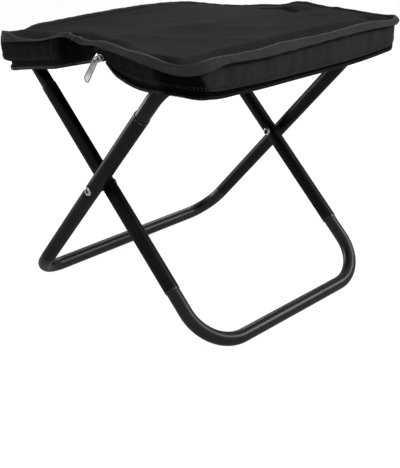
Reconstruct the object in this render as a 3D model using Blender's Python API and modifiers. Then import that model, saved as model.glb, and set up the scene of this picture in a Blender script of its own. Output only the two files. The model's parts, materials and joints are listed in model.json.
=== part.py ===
"""Folding camp stool with a zip-round fabric seat.

Two crossed tube frames turn on a pair of rivets.  Each frame is two straight leg
sleeves with a U-shaped foot rail plugged into their lower ends and a U-shaped seat
rail plugged into their upper ends.  The seat is an open clamshell of cloth: two
panels with side walls and a zip along their hems, joined by a slack spine strip.

X runs across the legs, Y along the rivets and rails with the front at -Y, Z is up.
The origin is on the floor under the middle of the stool.
"""
import math

import bmesh
import bpy
from mathutils import Matrix, Vector

# Driving dimensions of the tube frames, in metres
SLEEVE_OD = 0.0150
TUBE_WALL = 0.0005
SOCKET_GAP = 0.00025
SOCKET_DEPTH = 0.050
OUTER_LEG_SPACING = 0.273
FOOT_SPREAD = 0.2764
PIVOT_HEIGHT = 0.1438
SEAT_RAIL_REACH = 0.3765
SLEEVE_TOP_REACH = 0.3195
INNER_FOOT_JOINT = 0.0690
OUTER_FOOT_JOINT = 0.0410
SEAT_RAIL_BEND = 0.035
INNER_FOOT_BEND = 0.045
OUTER_FOOT_BEND = 0.035
NECK_LENGTH = 0.0012

# Driving dimensions of the pivots
RIVET_SHANK_R = 0.0022
RIVET_HEAD_R = 0.0048
RIVET_HEAD_T = 0.0014
RIVET_CREST_R = 0.0029
RIVET_EDGE_R = 0.0043
RIVET_EDGE_T = 0.0010
RIVET_HOLE_R = 0.0013
RIVET_HOLE_DEPTH = 0.0070
SPACER_R = 0.0062
SPACER_LENGTH = 0.0029
FIT_GAP = 0.0003

# Driving dimensions of the seat
SIDE_CLEARANCE = 0.0006
RAIL_OVERHANG = 0.0262
SEAT_CORNER_R = 0.028
LEFT_SPINE_EDGE = 0.0305
RIGHT_SPINE_EDGE = 0.0440
PANEL_T = 0.0020
PANEL_SAG = 0.0035
SPINE_FRONT_RISE = 0.0080
SPINE_MIDDLE_RISE = 0.0045
SPINE_REAR_RISE = 0.0050
SPINE_SEAM_WIDTH = 0.0060
LEFT_FLAP_DEPTH = 0.0200
RIGHT_FLAP_DEPTH = 0.0030
EDGE_RISE_REACH = 0.075
TUNNEL_WALL = 0.0008
TUNNEL_END_GAP = 0.006
SAG_MARGIN = 0.016
SPINE_T = 0.0012
GUSSET_T = 0.0012
GUSSET_DEPTH = 0.0208
GUSSET_BELLY = 0.0012
BINDING_R = 0.0017
TAPE_T = 0.0009
TAPE_HEIGHT = 0.0050
TAPE_GAP = 0.0008
COIL_R = 0.0013

# How far the slack front and rear edges stand above each panel, from the spine to the corner,
# as (distance from the stool's middle, rise)
RIGHT_FRONT_RISE = ((0.044, 0.0060), (0.072, 0.0084), (0.100, 0.0070), (0.150, 0.0))
RIGHT_REAR_RISE = ((0.044, 0.0040), (0.072, 0.0020), (0.150, 0.0))
LEFT_FRONT_RISE = ((0.030, 0.0035), (0.090, 0.0040), (0.150, 0.0))
LEFT_REAR_RISE = ((0.030, 0.0010), (0.100, 0.0))

# How far each side wall hangs below its panel, from the spine to the outer edge,
# as (distance from the stool's middle, depth)
RIGHT_HEM = ((0.0553, 0.0005), (0.063, 0.0022), (0.0795, 0.0062), (0.097, 0.0086), (0.135, 0.0096),
             (0.150, 0.0125), (0.154, 0.0155), (0.1558, GUSSET_DEPTH))
LEFT_HEM = ((0.0308, 0.0106), (0.1055, GUSSET_DEPTH))

# Driving dimensions of the zip slider, its tab and the carry loop
SLIDER_ROOM = 0.0110
SLIDER_DROP = 0.0072
SLIDER_LENGTH = 0.0086
SLIDER_WIDTH = 0.0064
SLIDER_MOUTH_WIDTH = 0.0054
SLIDER_TAIL_WIDTH = 0.0038
SLIDER_SHOULDER = 0.0009
SLIDER_T = 0.0048
BAIL_WIRE_R = 0.0006
TAB_LENGTH = 0.0300
TAB_WIDTH = 0.0074
TAB_TOP_WIDTH = 0.0060
TAB_T = 0.0012
TAB_RIM = 0.0013
TAB_WINDOW_LENGTH = 0.0048
TAB_LEAN_DEG = 42.0
STOP_LENGTH = 0.0050
STOP_T = 0.0030
STOP_BEVEL = 0.0006
LOOP_WIDTH = 0.020
LOOP_DROP = 0.034
LOOP_T = 0.0014
LOOP_BEND_R = 0.0009

# How finely round and draped shapes are cut
TUBE_RESOLUTION = 4
BEND_STEPS = 6
ROUND_STEPS = 16
CORNER_STEPS = 5
EDGE_STEPS = 6
PANEL_COLUMNS = 6
PANEL_LINES = 14
SPINE_COLUMNS = 8
WALL_LEVELS = 3
EDGE_CROWDING = 1.5
CLOTH_SMOOTH_DEG = 50.0

# Sizes that follow from the ones above
SLEEVE_R = SLEEVE_OD / 2
RAIL_OD = SLEEVE_OD - 2 * (TUBE_WALL + SOCKET_GAP)
RAIL_R = RAIL_OD / 2
TUBE_SIDES = 4 + 2 * TUBE_RESOLUTION
FLAT_SHARE = math.cos(math.pi / TUBE_SIDES)
OUTER_HALF = OUTER_LEG_SPACING / 2
INNER_HALF = OUTER_HALF - SLEEVE_OD - SPACER_LENGTH - 2 * FIT_GAP
FOOT_HALF = FOOT_SPREAD / 2
RIVET_BORE_R = RIVET_SHANK_R + FIT_GAP
TUNNEL_BORE_R = RAIL_R + 2 * FIT_GAP
PANEL_LIFT = TUNNEL_BORE_R + TUNNEL_WALL + FIT_GAP
WALL_HALF = OUTER_HALF + SLEEVE_R + SIDE_CLEARANCE
SEAT_HALF = WALL_HALF + GUSSET_T
TAB_BAR = TAB_T
TAB_STANDOFF = TAB_BAR / math.sqrt(2.0) + FIT_GAP
BAIL_R = TAB_STANDOFF + BAIL_WIRE_R

COLOURS = {
    "black_tube": ((0.012, 0.012, 0.013), 0.35, 0.6),
    "seat_cloth": ((0.035, 0.035, 0.036), 0.85, 0.0),
    "wall_cloth": ((0.018, 0.018, 0.019), 0.85, 0.0),
    "binding_tape": ((0.055, 0.055, 0.056), 0.8, 0.0),
    "zip_tape": ((0.008, 0.008, 0.009), 0.8, 0.0),
    "zip_coil": ((0.010, 0.010, 0.011), 0.45, 0.0),
    "bright_metal": ((0.70, 0.70, 0.71), 0.25, 1.0),
    "black_plastic": ((0.015, 0.015, 0.016), 0.5, 0.0),
}


def clear_scene():
    for obj in list(bpy.data.objects):
        bpy.data.objects.remove(obj, do_unlink=True)


def new_collection(name):
    group = bpy.data.collections.new(name)
    bpy.context.scene.collection.children.link(group)
    return group


def make_material(name):
    colour, roughness, metallic = COLOURS[name]
    material = bpy.data.materials.new(name)
    material.use_nodes = True
    shader = material.node_tree.nodes["Principled BSDF"]
    shader.inputs["Base Color"].default_value = (*colour, 1.0)
    shader.inputs["Roughness"].default_value = roughness
    shader.inputs["Metallic"].default_value = metallic
    return material


clear_scene()
STOOL = new_collection("camp_stool")
CUTTERS = new_collection("cutters")
MATERIALS = {name: make_material(name) for name in COLOURS}


class Frame:
    """One crossed frame: a slanted plane through its foot rail and the pivots."""

    def __init__(self, foot_x, foot_z, half):
        pivot = Vector((0.0, 0.0, PIVOT_HEIGHT))
        self.foot = Vector((foot_x, 0.0, foot_z))
        self.along = (pivot - self.foot).normalized()
        self.half = half
        across = Vector((0.0, 1.0, 0.0))
        normal = self.along.cross(across)
        axes = Matrix((self.along, across, normal)).transposed()
        self.matrix = Matrix.Translation(self.foot) @ axes.to_4x4()

    def point(self, reach):
        return self.foot + self.along * reach


# A flat of each many-sided foot rail lies on the floor.
OUTER = Frame(-FOOT_HALF, SLEEVE_R * FLAT_SHARE, OUTER_HALF)
INNER = Frame(FOOT_HALF, RAIL_R * FLAT_SHARE, INNER_HALF)


def add_empty(name, place, parent=None):
    empty = bpy.data.objects.new(name, None)
    empty.empty_display_size = 0.02
    empty.location = place
    STOOL.objects.link(empty)
    bpy.context.view_layer.update()
    attach(empty, parent)
    return empty


def attach(obj, parent):
    """Parent an object and keep it where it stands."""
    if parent is not None:
        obj.parent = parent
        obj.matrix_parent_inverse = parent.matrix_world.inverted()


def finish(obj, material, parent, smooth_deg=35.0):
    obj.data.materials.clear()
    obj.data.materials.append(MATERIALS[material])
    obj.data.shade_smooth()
    obj.data.set_sharp_from_angle(angle=math.radians(smooth_deg))
    bpy.context.view_layer.update()
    attach(obj, parent)
    return obj


def link_mesh(name, mesh, matrix=None, group=None):
    obj = bpy.data.objects.new(name, mesh)
    if matrix is not None:
        obj.matrix_world = matrix
    (group or STOOL).objects.link(obj)
    return obj


def curve_mesh(name, points, radius, resolution, capped, matrix=None, tilt=0.0, scales=None):
    """A round bar or an open-ended tube skin along a path, as a mesh object."""
    curve = bpy.data.curves.new(name + "_path", "CURVE")
    curve.dimensions = "3D"
    curve.twist_mode = "Z_UP"
    curve.bevel_depth = radius
    curve.bevel_resolution = resolution
    curve.use_fill_caps = capped
    spline = curve.splines.new("POLY")
    spline.points.add(len(points) - 1)
    for index, place in enumerate(points):
        spline.points[index].co = (*place, 1.0)
        spline.points[index].tilt = tilt
        if scales is not None:
            spline.points[index].radius = scales[index]
    holder = link_mesh(name + "_path", curve, matrix)
    bpy.context.view_layer.update()
    evaluated = holder.evaluated_get(bpy.context.evaluated_depsgraph_get())
    mesh = bpy.data.meshes.new_from_object(evaluated)
    mesh.name = name
    obj = link_mesh(name, mesh, holder.matrix_world.copy())
    bpy.data.objects.remove(holder, do_unlink=True)
    weld_outward(mesh)
    return obj


def weld_outward(mesh):
    work = bmesh.new()
    work.from_mesh(mesh)
    bmesh.ops.remove_doubles(work, verts=work.verts, dist=1e-6)
    bmesh.ops.recalc_face_normals(work, faces=work.faces)
    work.to_mesh(mesh)
    work.free()


def thicken(obj, thickness, offset):
    shell = obj.modifiers.new("wall", "SOLIDIFY")
    shell.thickness = thickness
    shell.offset = offset
    shell.use_even_offset = True


def tube(name, frame, path, outside_d, parent, scales=None, cutter=None):
    """A hollow tube in the plane of a frame; path points are (reach, across)."""
    points = [(reach, across, 0.0) for reach, across in path]
    # Turn the many-sided section so that one flat faces the floor.
    lean = math.atan2(frame.along.z, abs(frame.along.x))
    tilt = math.copysign(math.radians(45.0) - lean, frame.along.x)
    obj = curve_mesh(name, points, outside_d / 2, TUBE_RESOLUTION, False, frame.matrix, tilt, scales)
    thicken(obj, TUBE_WALL, -1.0)
    if cutter is not None:
        bore = obj.modifiers.new("rivet bore", "BOOLEAN")
        bore.operation = "DIFFERENCE"
        bore.solver = "EXACT"
        bore.object = cutter
    return finish(obj, "black_tube", parent)


def u_path(half, bar, bend, end):
    """A U: in along one leg, round a bend, along the bar and back; bar and end are reaches."""
    side = math.copysign(1.0, end - bar)
    quarter = [math.pi / 2 * step / BEND_STEPS for step in range(BEND_STEPS + 1)]
    near = [(bar + side * bend * (1 - math.sin(turn)), half - bend * (1 - math.cos(turn)))
            for turn in quarter]
    far = [(reach, -across) for reach, across in reversed(near)]
    return [(end, half)] + near + far + [(end, -half)]


def turned(name, profile, place, material, parent):
    """A shape turned about the Y axis; the profile is (radius, distance along -Y), top to bottom."""
    mesh = bpy.data.meshes.new(name)
    work = bmesh.new()
    verts = [work.verts.new((radius, 0.0, height)) for radius, height in profile]
    closed = profile[0][0] > 0
    for first, second in zip(verts, verts[1:] + verts[:1] if closed else verts[1:]):
        work.edges.new((first, second))
    work.to_mesh(mesh)
    work.free()
    matrix = Matrix.Translation(place) @ Matrix.Rotation(math.radians(90.0), 4, "X")
    obj = link_mesh(name, mesh, matrix)
    screw = obj.modifiers.new("turn", "SCREW")
    screw.axis = "Z"
    screw.steps = ROUND_STEPS
    screw.render_steps = ROUND_STEPS
    screw.use_merge_vertices = True
    screw.merge_threshold = 1e-6
    return finish(obj, material, parent)


# Bodies: one empty on each joint axis
PIVOT = Vector((0.0, 0.0, PIVOT_HEIGHT))
RIGHT_RAIL = OUTER.point(SEAT_RAIL_REACH)
LEFT_RAIL = INNER.point(SEAT_RAIL_REACH)
outer_frame = add_empty("outer_frame", PIVOT)
inner_frame = add_empty("inner_frame", PIVOT, outer_frame)
outer_foot = add_empty("outer_foot", OUTER.foot, outer_frame)
inner_foot = add_empty("inner_foot", INNER.foot, inner_frame)
seat_right = add_empty("seat_right", RIGHT_RAIL, outer_frame)
seat_left = add_empty("seat_left", LEFT_RAIL, inner_frame)


def make_rivet_cutter():
    bpy.ops.mesh.primitive_cylinder_add(
        vertices=ROUND_STEPS, radius=RIVET_BORE_R, depth=OUTER_LEG_SPACING + 2 * SLEEVE_OD,
        location=PIVOT, rotation=(math.radians(90.0), 0.0, 0.0))
    cutter = bpy.context.object
    cutter.name = "rivet_bore_cutter"
    for group in list(cutter.users_collection):
        group.objects.unlink(cutter)
    CUTTERS.objects.link(cutter)
    cutter.hide_render = True
    cutter.display_type = "WIRE"
    return cutter


def make_tubes():
    cutter = make_rivet_cutter()
    rail_end = SLEEVE_TOP_REACH - SOCKET_DEPTH
    for title, frame, body, foot_joint in (
            ("outer", OUTER, outer_frame, OUTER_FOOT_JOINT),
            ("inner", INNER, inner_frame, INNER_FOOT_JOINT)):
        for end, side in (("front", -1.0), ("rear", 1.0)):
            run = [(foot_joint, side * frame.half), (SLEEVE_TOP_REACH, side * frame.half)]
            tube(f"{title}_sleeve_{end}", frame, run, SLEEVE_OD, body, cutter=cutter)
        rail = u_path(frame.half, SEAT_RAIL_REACH, SEAT_RAIL_BEND, rail_end)
        tube(f"{title}_seat_rail", frame, rail, RAIL_OD, body)
    foot = u_path(INNER_HALF, 0.0, INNER_FOOT_BEND, INNER_FOOT_JOINT + SOCKET_DEPTH)
    tube("inner_foot_rail", INNER, foot, RAIL_OD, inner_foot)
    make_outer_foot_rail()


def make_outer_foot_rail():
    """The outer foot rail is full-size tube whose ends are necked down to enter the sleeves."""
    shoulder = OUTER_FOOT_JOINT - FIT_GAP
    neck = shoulder - NECK_LENGTH
    full = u_path(OUTER_HALF, 0.0, OUTER_FOOT_BEND, neck)
    tip = OUTER_FOOT_JOINT + SOCKET_DEPTH
    path = [(tip, OUTER_HALF), (shoulder, OUTER_HALF)] + full
    path += [(shoulder, -OUTER_HALF), (tip, -OUTER_HALF)]
    narrow = RAIL_OD / SLEEVE_OD
    scales = [narrow, narrow] + [1.0] * len(full) + [narrow, narrow]
    tube("outer_foot_rail", OUTER, path, SLEEVE_OD, outer_foot, scales=scales)


def make_pivots():
    """Semi-tubular rivets, rolled hollow end to the front, and the spacers between the legs."""
    middle = (OUTER_HALF + INNER_HALF) / 2
    reach = OUTER_HALF - middle + SLEEVE_R + FIT_GAP
    spacer_half = SPACER_LENGTH / 2
    hole_floor = reach + RIVET_HEAD_T - RIVET_HOLE_DEPTH
    profile = [
        (0.0, hole_floor), (RIVET_HOLE_R, hole_floor), (RIVET_HOLE_R, reach + RIVET_EDGE_T),
        (RIVET_CREST_R, reach + RIVET_HEAD_T), (RIVET_EDGE_R, reach + RIVET_EDGE_T), (RIVET_HEAD_R, reach),
        (RIVET_SHANK_R, reach), (RIVET_SHANK_R, -reach),
        (RIVET_HEAD_R, -reach), (RIVET_EDGE_R, -reach - RIVET_EDGE_T), (0.0, -reach - RIVET_HEAD_T)]
    spacer = [(RIVET_BORE_R, spacer_half), (SPACER_R, spacer_half),
              (SPACER_R, -spacer_half), (RIVET_BORE_R, -spacer_half)]
    for end, side in (("front", -1.0), ("rear", 1.0)):
        place = PIVOT + Vector((0.0, side * middle, 0.0))
        turned(f"pivot_rivet_{end}", profile, place, "bright_metal", outer_frame)
        turned(f"spacer_washer_{end}", spacer, place, "black_plastic", outer_frame)


def bent_line(points, place):
    """Height at a place of a line through (place, height) points."""
    height = points[0][1]
    for (near, low), (far, high) in zip(points, points[1:]):
        share = min(max((place - near) / (far - near), 0.0), 1.0)
        height += (high - low) * share
    return height


class SeatHalf:
    """One half of the seat; places are worked out for the right half and mirrored for the left."""

    def __init__(self, title, rail, rail_half, body, sign, spine_edge, wall_gap):
        self.title = title
        self.body = body
        self.sign = sign
        self.rail = rail
        self.rail_half = rail_half
        self.edge = abs(rail.x) + RAIL_OVERHANG
        self.under = rail.z + PANEL_LIFT
        self.wall_top = self.under - FIT_GAP
        self.start = spine_edge + FIT_GAP
        self.wall_start = self.start + wall_gap
        self.hem_line = RIGHT_HEM if sign > 0 else LEFT_HEM
        self.front_rise = RIGHT_FRONT_RISE if sign > 0 else LEFT_FRONT_RISE
        self.rear_rise = RIGHT_REAR_RISE if sign > 0 else LEFT_REAR_RISE

    def place(self, x, y, z):
        return Vector((self.sign * x, y, z))

    def outline(self, inset, start):
        """The edge from the spine's front end, round both corners, to its rear end."""
        edge = self.edge - inset
        half = SEAT_HALF - inset
        radius = SEAT_CORNER_R - inset
        straight = edge - radius
        front = [(start + (straight - start) * (step / EDGE_STEPS) ** EDGE_CROWDING, -half)
                 for step in range(EDGE_STEPS)]
        corner = []
        for step in range(CORNER_STEPS + 1):
            turn = math.pi / 2 * step / CORNER_STEPS
            corner.append((straight + radius * math.sin(turn), -half + radius * (1 - math.cos(turn))))
        forward = front + corner
        side = [(edge, (radius - half) * (1 - step / 2)) for step in (1, 2, 3)]
        backward = [(x, -y) for x, y in reversed(forward)]
        return forward + side + backward

    def rise(self, x, y):
        """How far the slack cloth stands above the panel's flat level; it dies away from the edge."""
        inward = min((SEAT_HALF - abs(y)) / EDGE_RISE_REACH, 1.0)
        edge_rise = bent_line(self.front_rise if y < 0 else self.rear_rise, x)
        return edge_rise * (1.0 - max(inward, 0.0)) ** 2

    def hem_depths(self):
        """How far the wall hangs below the panel at each point of its outline."""
        return [bent_line(self.hem_line, x) for x, _ in self.outline(0.0, self.wall_start)]

    def below_hem(self, line, drop, gap):
        """Points a drop below the hem, with the gap kept square to the hem where it climbs."""
        heights = [self.wall_top - depth for depth in self.hem_depths()]
        spans = zip(line, line[1:], heights, heights[1:])
        climbs = [math.hypot(1.0, (end - start) / math.dist(here, there))
                  for here, there, start, end in spans]
        steepest = map(max, climbs[:1] + climbs, climbs + climbs[-1:])
        return [self.place(x, y, z - drop - gap * climb)
                for (x, y), z, climb in zip(line, heights, steepest)]


RIGHT = SeatHalf("right", RIGHT_RAIL, OUTER_HALF, seat_right, 1.0, RIGHT_SPINE_EDGE, SLIDER_ROOM)
LEFT = SeatHalf("left", LEFT_RAIL, INNER_HALF, seat_left, -1.0, LEFT_SPINE_EDGE, 0.0)


def surface(name, rows):
    """A sheet of quads from rows of points, as a mesh object."""
    mesh = bpy.data.meshes.new(name)
    work = bmesh.new()
    grid = [[work.verts.new(place) for place in row] for row in rows]
    for upper, lower in zip(grid, grid[1:]):
        for column in range(len(upper) - 1):
            work.faces.new((upper[column], upper[column + 1], lower[column + 1], lower[column]))
    work.to_mesh(mesh)
    work.free()
    return link_mesh(name, mesh)


def sheet(name, rows, thickness, material, parent, towards):
    """A cloth sheet of even thickness that grows from its surface towards a direction."""
    obj = surface(name, rows)
    middle = obj.data.polygons[len(obj.data.polygons) // 2]
    thicken(obj, thickness, math.copysign(1.0, middle.normal.dot(towards)))
    return finish(obj, material, parent, CLOTH_SMOOTH_DEG)


def make_panel(half):
    """A seat panel with a shallow sag, rounded at its two outer corners."""
    straight = half.edge - SEAT_CORNER_R
    columns = [half.start + (straight - half.start) * step / PANEL_COLUMNS
               for step in range(PANEL_COLUMNS + 1)]
    columns += [straight + SEAT_CORNER_R * math.sin(math.pi / 2 * step / CORNER_STEPS)
                for step in range(1, CORNER_STEPS + 1)]
    rail_x = abs(half.rail.x)
    rows = []
    for line in range(PANEL_LINES + 1):
        share = 2.0 * line / PANEL_LINES - 1.0
        row = []
        for x in columns:
            over = max(x - straight, 0.0) / SEAT_CORNER_R
            reach = SEAT_HALF - SEAT_CORNER_R * (1.0 - math.sqrt(max(1.0 - over ** 2, 0.0)))
            y = share * reach
            across = min((x - half.start) / (rail_x - half.start), 1.0)
            inside = min(abs(y) / (SEAT_HALF - SAG_MARGIN), 1.0)
            sag = PANEL_SAG * math.sin(math.pi * across) * (1.0 - inside ** 2)
            row.append(half.place(x, y, half.under - sag + half.rise(x, y)))
        rows.append(row)
    sheet(f"seat_panel_{half.title}", rows, PANEL_T, "seat_cloth", half.body, Vector((0.0, 0.0, 1.0)))


def make_spine():
    """The slack strip between the panels: a ridge, highest at its ends, with a flap down each end."""
    middle = (RIGHT_SPINE_EDGE - LEFT_SPINE_EDGE) / 2
    half_width = (RIGHT_SPINE_EDGE + LEFT_SPINE_EDGE) / 2
    ridge_half = half_width - SPINE_SEAM_WIDTH
    columns = [-half_width] + [ridge_half * (2.0 * step / SPINE_COLUMNS - 1.0)
                               for step in range(SPINE_COLUMNS + 1)] + [half_width]
    rows = []
    for line in range(PANEL_LINES + 1):
        share = 2.0 * line / PANEL_LINES - 1.0
        y = share * WALL_HALF
        end_rise = SPINE_FRONT_RISE if share < 0 else SPINE_REAR_RISE
        ridge = SPINE_MIDDLE_RISE + (end_rise - SPINE_MIDDLE_RISE) * share ** 2
        left = LEFT.under + LEFT.rise(LEFT.start, y)
        right = RIGHT.under + RIGHT.rise(RIGHT.start, y)
        row = []
        for x in columns:
            across = 0.5 + 0.5 * x / half_width
            lift = ridge * 0.5 * (1.0 + math.cos(math.pi * min(abs(x) / ridge_half, 1.0)))
            row.append(Vector((middle + x, y, left + (right - left) * across + lift)))
        rows.append(row)
    hems = []
    for x in columns:
        across = 0.5 + 0.5 * x / half_width
        drop = LEFT_FLAP_DEPTH + (RIGHT_FLAP_DEPTH - LEFT_FLAP_DEPTH) * across
        hems.append(LEFT.under - drop)
    front = [Vector((place.x, place.y, hem)) for place, hem in zip(rows[0], hems)]
    rear = [Vector((place.x, place.y, hem)) for place, hem in zip(rows[-1], hems)]
    sheet("spine_strip", [front] + rows + [rear], SPINE_T, "seat_cloth", seat_right, Vector((0.0, 0.0, 1.0)))


def make_walls(half):
    """The side wall and, along its hem, the zip tape and its coil."""
    outward = Vector((half.sign, 0.0, 0.0))
    line = half.outline(GUSSET_T, half.wall_start)
    swollen = half.outline(GUSSET_T - GUSSET_BELLY, half.wall_start)
    rows = []
    for level in range(WALL_LEVELS + 1):
        share = level / WALL_LEVELS
        row = []
        for (x, y), (out_x, out_y), depth in zip(line, swollen, half.hem_depths()):
            belly = math.sin(math.pi * share) * depth / GUSSET_DEPTH
            lift = half.rise(x, y) * (1.0 - share)
            z = half.wall_top + lift - share * depth
            row.append(half.place(x + (out_x - x) * belly, y + (out_y - y) * belly, z))
        rows.append(row)
    sheet(f"gusset_{half.title}", rows, GUSSET_T, "wall_cloth", half.body, outward)

    tape_rows = [half.below_hem(line, drop, TAPE_GAP) for drop in (0.0, TAPE_HEIGHT)]
    sheet(f"zip_tape_{half.title}", tape_rows, TAPE_T, "zip_tape", half.body, outward)

    coil_line = half.outline(GUSSET_T - COIL_R, half.wall_start)
    coil = half.below_hem(coil_line, TAPE_HEIGHT, TAPE_GAP + FIT_GAP + COIL_R)
    finish(curve_mesh(f"zip_coil_{half.title}", coil, COIL_R, 1, True), "zip_coil", half.body)


def make_binding(half):
    """The bound edge that runs round a panel outside its cut edge."""
    height = half.under + PANEL_T / 2
    points = [half.place(x, y, height + half.rise(x, y))
              for x, y in half.outline(-FIT_GAP - BINDING_R, half.start)]
    bead = curve_mesh(f"edge_binding_{half.title}", points, BINDING_R, 2, True)
    finish(bead, "binding_tape", half.body)


def make_tunnel(half):
    """The sewn tunnel that the seat rail runs through under a panel."""
    reach = half.rail_half - SEAT_RAIL_BEND - TUNNEL_END_GAP
    points = [half.rail + Vector((0.0, -reach, 0.0)), half.rail + Vector((0.0, reach, 0.0))]
    outside_r = TUNNEL_BORE_R + TUNNEL_WALL
    obj = curve_mesh(f"rail_tunnel_{half.title}", points, outside_r, TUBE_RESOLUTION, False)
    thicken(obj, TUNNEL_WALL, -1.0)
    finish(obj, "wall_cloth", half.body)


def zip_matrix(place):
    """Axes of the parked slider: X across it, Y up along it, Z out of the stool's front."""
    lean = math.radians(TAB_LEAN_DEG)
    across = Vector((math.cos(lean), 0.0, -math.sin(lean)))
    up = Vector((math.sin(lean), 0.0, math.cos(lean)))
    out = Vector((0.0, -1.0, 0.0))
    return Matrix.Translation(place) @ Matrix((across, up, out)).transposed().to_4x4()


def flat_outline(name, loops, thickness, matrix):
    """A flat plate cut to closed outlines, later ones being holes, as a mesh object."""
    curve = bpy.data.curves.new(name + "_outline", "CURVE")
    curve.dimensions = "2D"
    curve.fill_mode = "BOTH"
    curve.extrude = thickness / 2
    for loop in loops:
        spline = curve.splines.new("POLY")
        spline.points.add(len(loop) - 1)
        spline.use_cyclic_u = True
        for point, (x, y) in zip(spline.points, loop):
            point.co = (x, y, 0.0, 1.0)
    holder = link_mesh(name + "_outline", curve, matrix)
    bpy.context.view_layer.update()
    mesh = bpy.data.meshes.new_from_object(holder.evaluated_get(bpy.context.evaluated_depsgraph_get()))
    obj = link_mesh(name, mesh, holder.matrix_world.copy())
    bpy.data.objects.remove(holder, do_unlink=True)
    weld_outward(mesh)
    return obj


def make_zip_slider(matrix):
    """The slider body, wide at its mouth, with a bail over its front for the tab."""
    end = SLIDER_LENGTH / 2
    tail, mouth = (SLIDER_TAIL_WIDTH / 2, -end), (SLIDER_MOUTH_WIDTH / 2, end)
    right = [tail, (SLIDER_WIDTH / 2, SLIDER_SHOULDER), mouth]
    left = [(-x, y) for x, y in reversed(right)]
    body = flat_outline("zip_slider", [right + left], SLIDER_T, matrix)
    face = SLIDER_T / 2
    arch = [(face - BAIL_WIRE_R, BAIL_R, 0.0)]
    for step in range(ROUND_STEPS // 2 + 1):
        turn = math.pi * step / (ROUND_STEPS // 2)
        arch.append((face + TAB_STANDOFF + BAIL_R * math.sin(turn), BAIL_R * math.cos(turn), 0.0))
    arch.append((face - BAIL_WIRE_R, -BAIL_R, 0.0))
    outward = matrix @ Matrix.Rotation(math.radians(-90.0), 4, "Y")
    bail = curve_mesh("zip_bail", arch, BAIL_WIRE_R, 1, True, outward)
    CUTTERS.objects.link(bail)
    STOOL.objects.unlink(bail)
    bail.hide_render = True
    bail.display_type = "WIRE"
    join = body.modifiers.new("bail", "BOOLEAN")
    join.operation = "UNION"
    join.solver = "EXACT"
    join.object = bail
    finish(body, "bright_metal", seat_right)


def make_zip_tab(place, matrix):
    """The pull tab: a window for the bail at its top and a round lower end."""
    top, foot = TAB_BAR / 2, TAB_WIDTH / 2
    sweep = [math.pi * step / ROUND_STEPS for step in range(ROUND_STEPS + 1)]
    outline = [(-TAB_TOP_WIDTH / 2, top), (TAB_TOP_WIDTH / 2, top)]
    outline += [(foot * math.cos(turn), foot - TAB_LENGTH - foot * math.sin(turn)) for turn in sweep]
    side = TAB_TOP_WIDTH / 2 - TAB_RIM
    window = [(-side, -top), (side, -top), (side, -TAB_WINDOW_LENGTH), (-side, -TAB_WINDOW_LENGTH)]
    tab_body = add_empty("zip_tab", place, seat_right)
    finish(flat_outline("zip_pull_tab", [outline, window], TAB_T, matrix), "bright_metal", tab_body)


def make_zip_hardware():
    x = RIGHT.wall_start - FIT_GAP - SLIDER_ROOM / 2
    z = RIGHT.under + RIGHT.rise(x, -SEAT_HALF) - SLIDER_DROP
    matrix = zip_matrix(Vector((x, -WALL_HALF - SLIDER_T / 2, z)))
    make_zip_slider(matrix)
    pivot = matrix @ Vector((0.0, 0.0, SLIDER_T / 2 + TAB_STANDOFF))
    make_zip_tab(pivot, zip_matrix(pivot))

    bpy.ops.mesh.primitive_cube_add(size=1.0)
    stop = bpy.context.object
    stop.name = "zip_end_stop"
    stop.data.transform(Matrix.Diagonal((STOP_LENGTH, STOP_T, TAPE_HEIGHT, 1.0)))
    stop_z = RIGHT.wall_top - RIGHT.hem_depths()[0] - TAPE_HEIGHT / 2
    stop.location = (RIGHT.wall_start - FIT_GAP - STOP_LENGTH / 2, WALL_HALF + STOP_T / 2, stop_z)
    for group in list(stop.users_collection):
        group.objects.unlink(stop)
    STOOL.objects.link(stop)
    bevel = stop.modifiers.new("edges", "BEVEL")
    bevel.width = STOP_BEVEL
    bevel.segments = 2
    finish(stop, "bright_metal", seat_right)


def make_carry_loop():
    """A folded webbing loop hanging from the bound edge at the rear end of the spine."""
    near = SEAT_HALF + 2 * (FIT_GAP + BINDING_R)
    middle = near + LOOP_T + LOOP_BEND_R
    top = RIGHT.under + PANEL_T
    low = top - LOOP_DROP + LOOP_BEND_R
    path = [(middle - LOOP_BEND_R, top)]
    for step in range(ROUND_STEPS // 2 + 1):
        turn = math.pi * step / (ROUND_STEPS // 2)
        path.append((middle - LOOP_BEND_R * math.cos(turn), low - LOOP_BEND_R * math.sin(turn)))
    path.append((middle + LOOP_BEND_R, top))
    rows = [[Vector((RIGHT.start + side * LOOP_WIDTH, y, z)) for side in (0.0, 1.0)] for y, z in path]
    obj = surface("carry_loop", rows)
    outer = obj.data.polygons[0].normal.y < 0
    thicken(obj, LOOP_T, 1.0 if outer else -1.0)
    finish(obj, "binding_tape", seat_right, CLOTH_SMOOTH_DEG)


def make_seat():
    for half in (RIGHT, LEFT):
        make_panel(half)
        make_walls(half)
        make_binding(half)
        make_tunnel(half)
    make_spine()
    make_zip_hardware()
    make_carry_loop()


make_tubes()
make_pivots()
make_seat()
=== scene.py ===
"""Looks of the folding camp stool.

Smooth tube frames, the slack zip-case seat with its bound edge, side walls and zip, and the
bright zip hardware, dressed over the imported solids.  X runs across the legs, Y along the
rivets with the front at -Y, Z is up, and lengths are in metres.
"""
import json
import math

import bmesh
import bpy
import numpy as np
from mathutils import Matrix, Vector, noise


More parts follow.
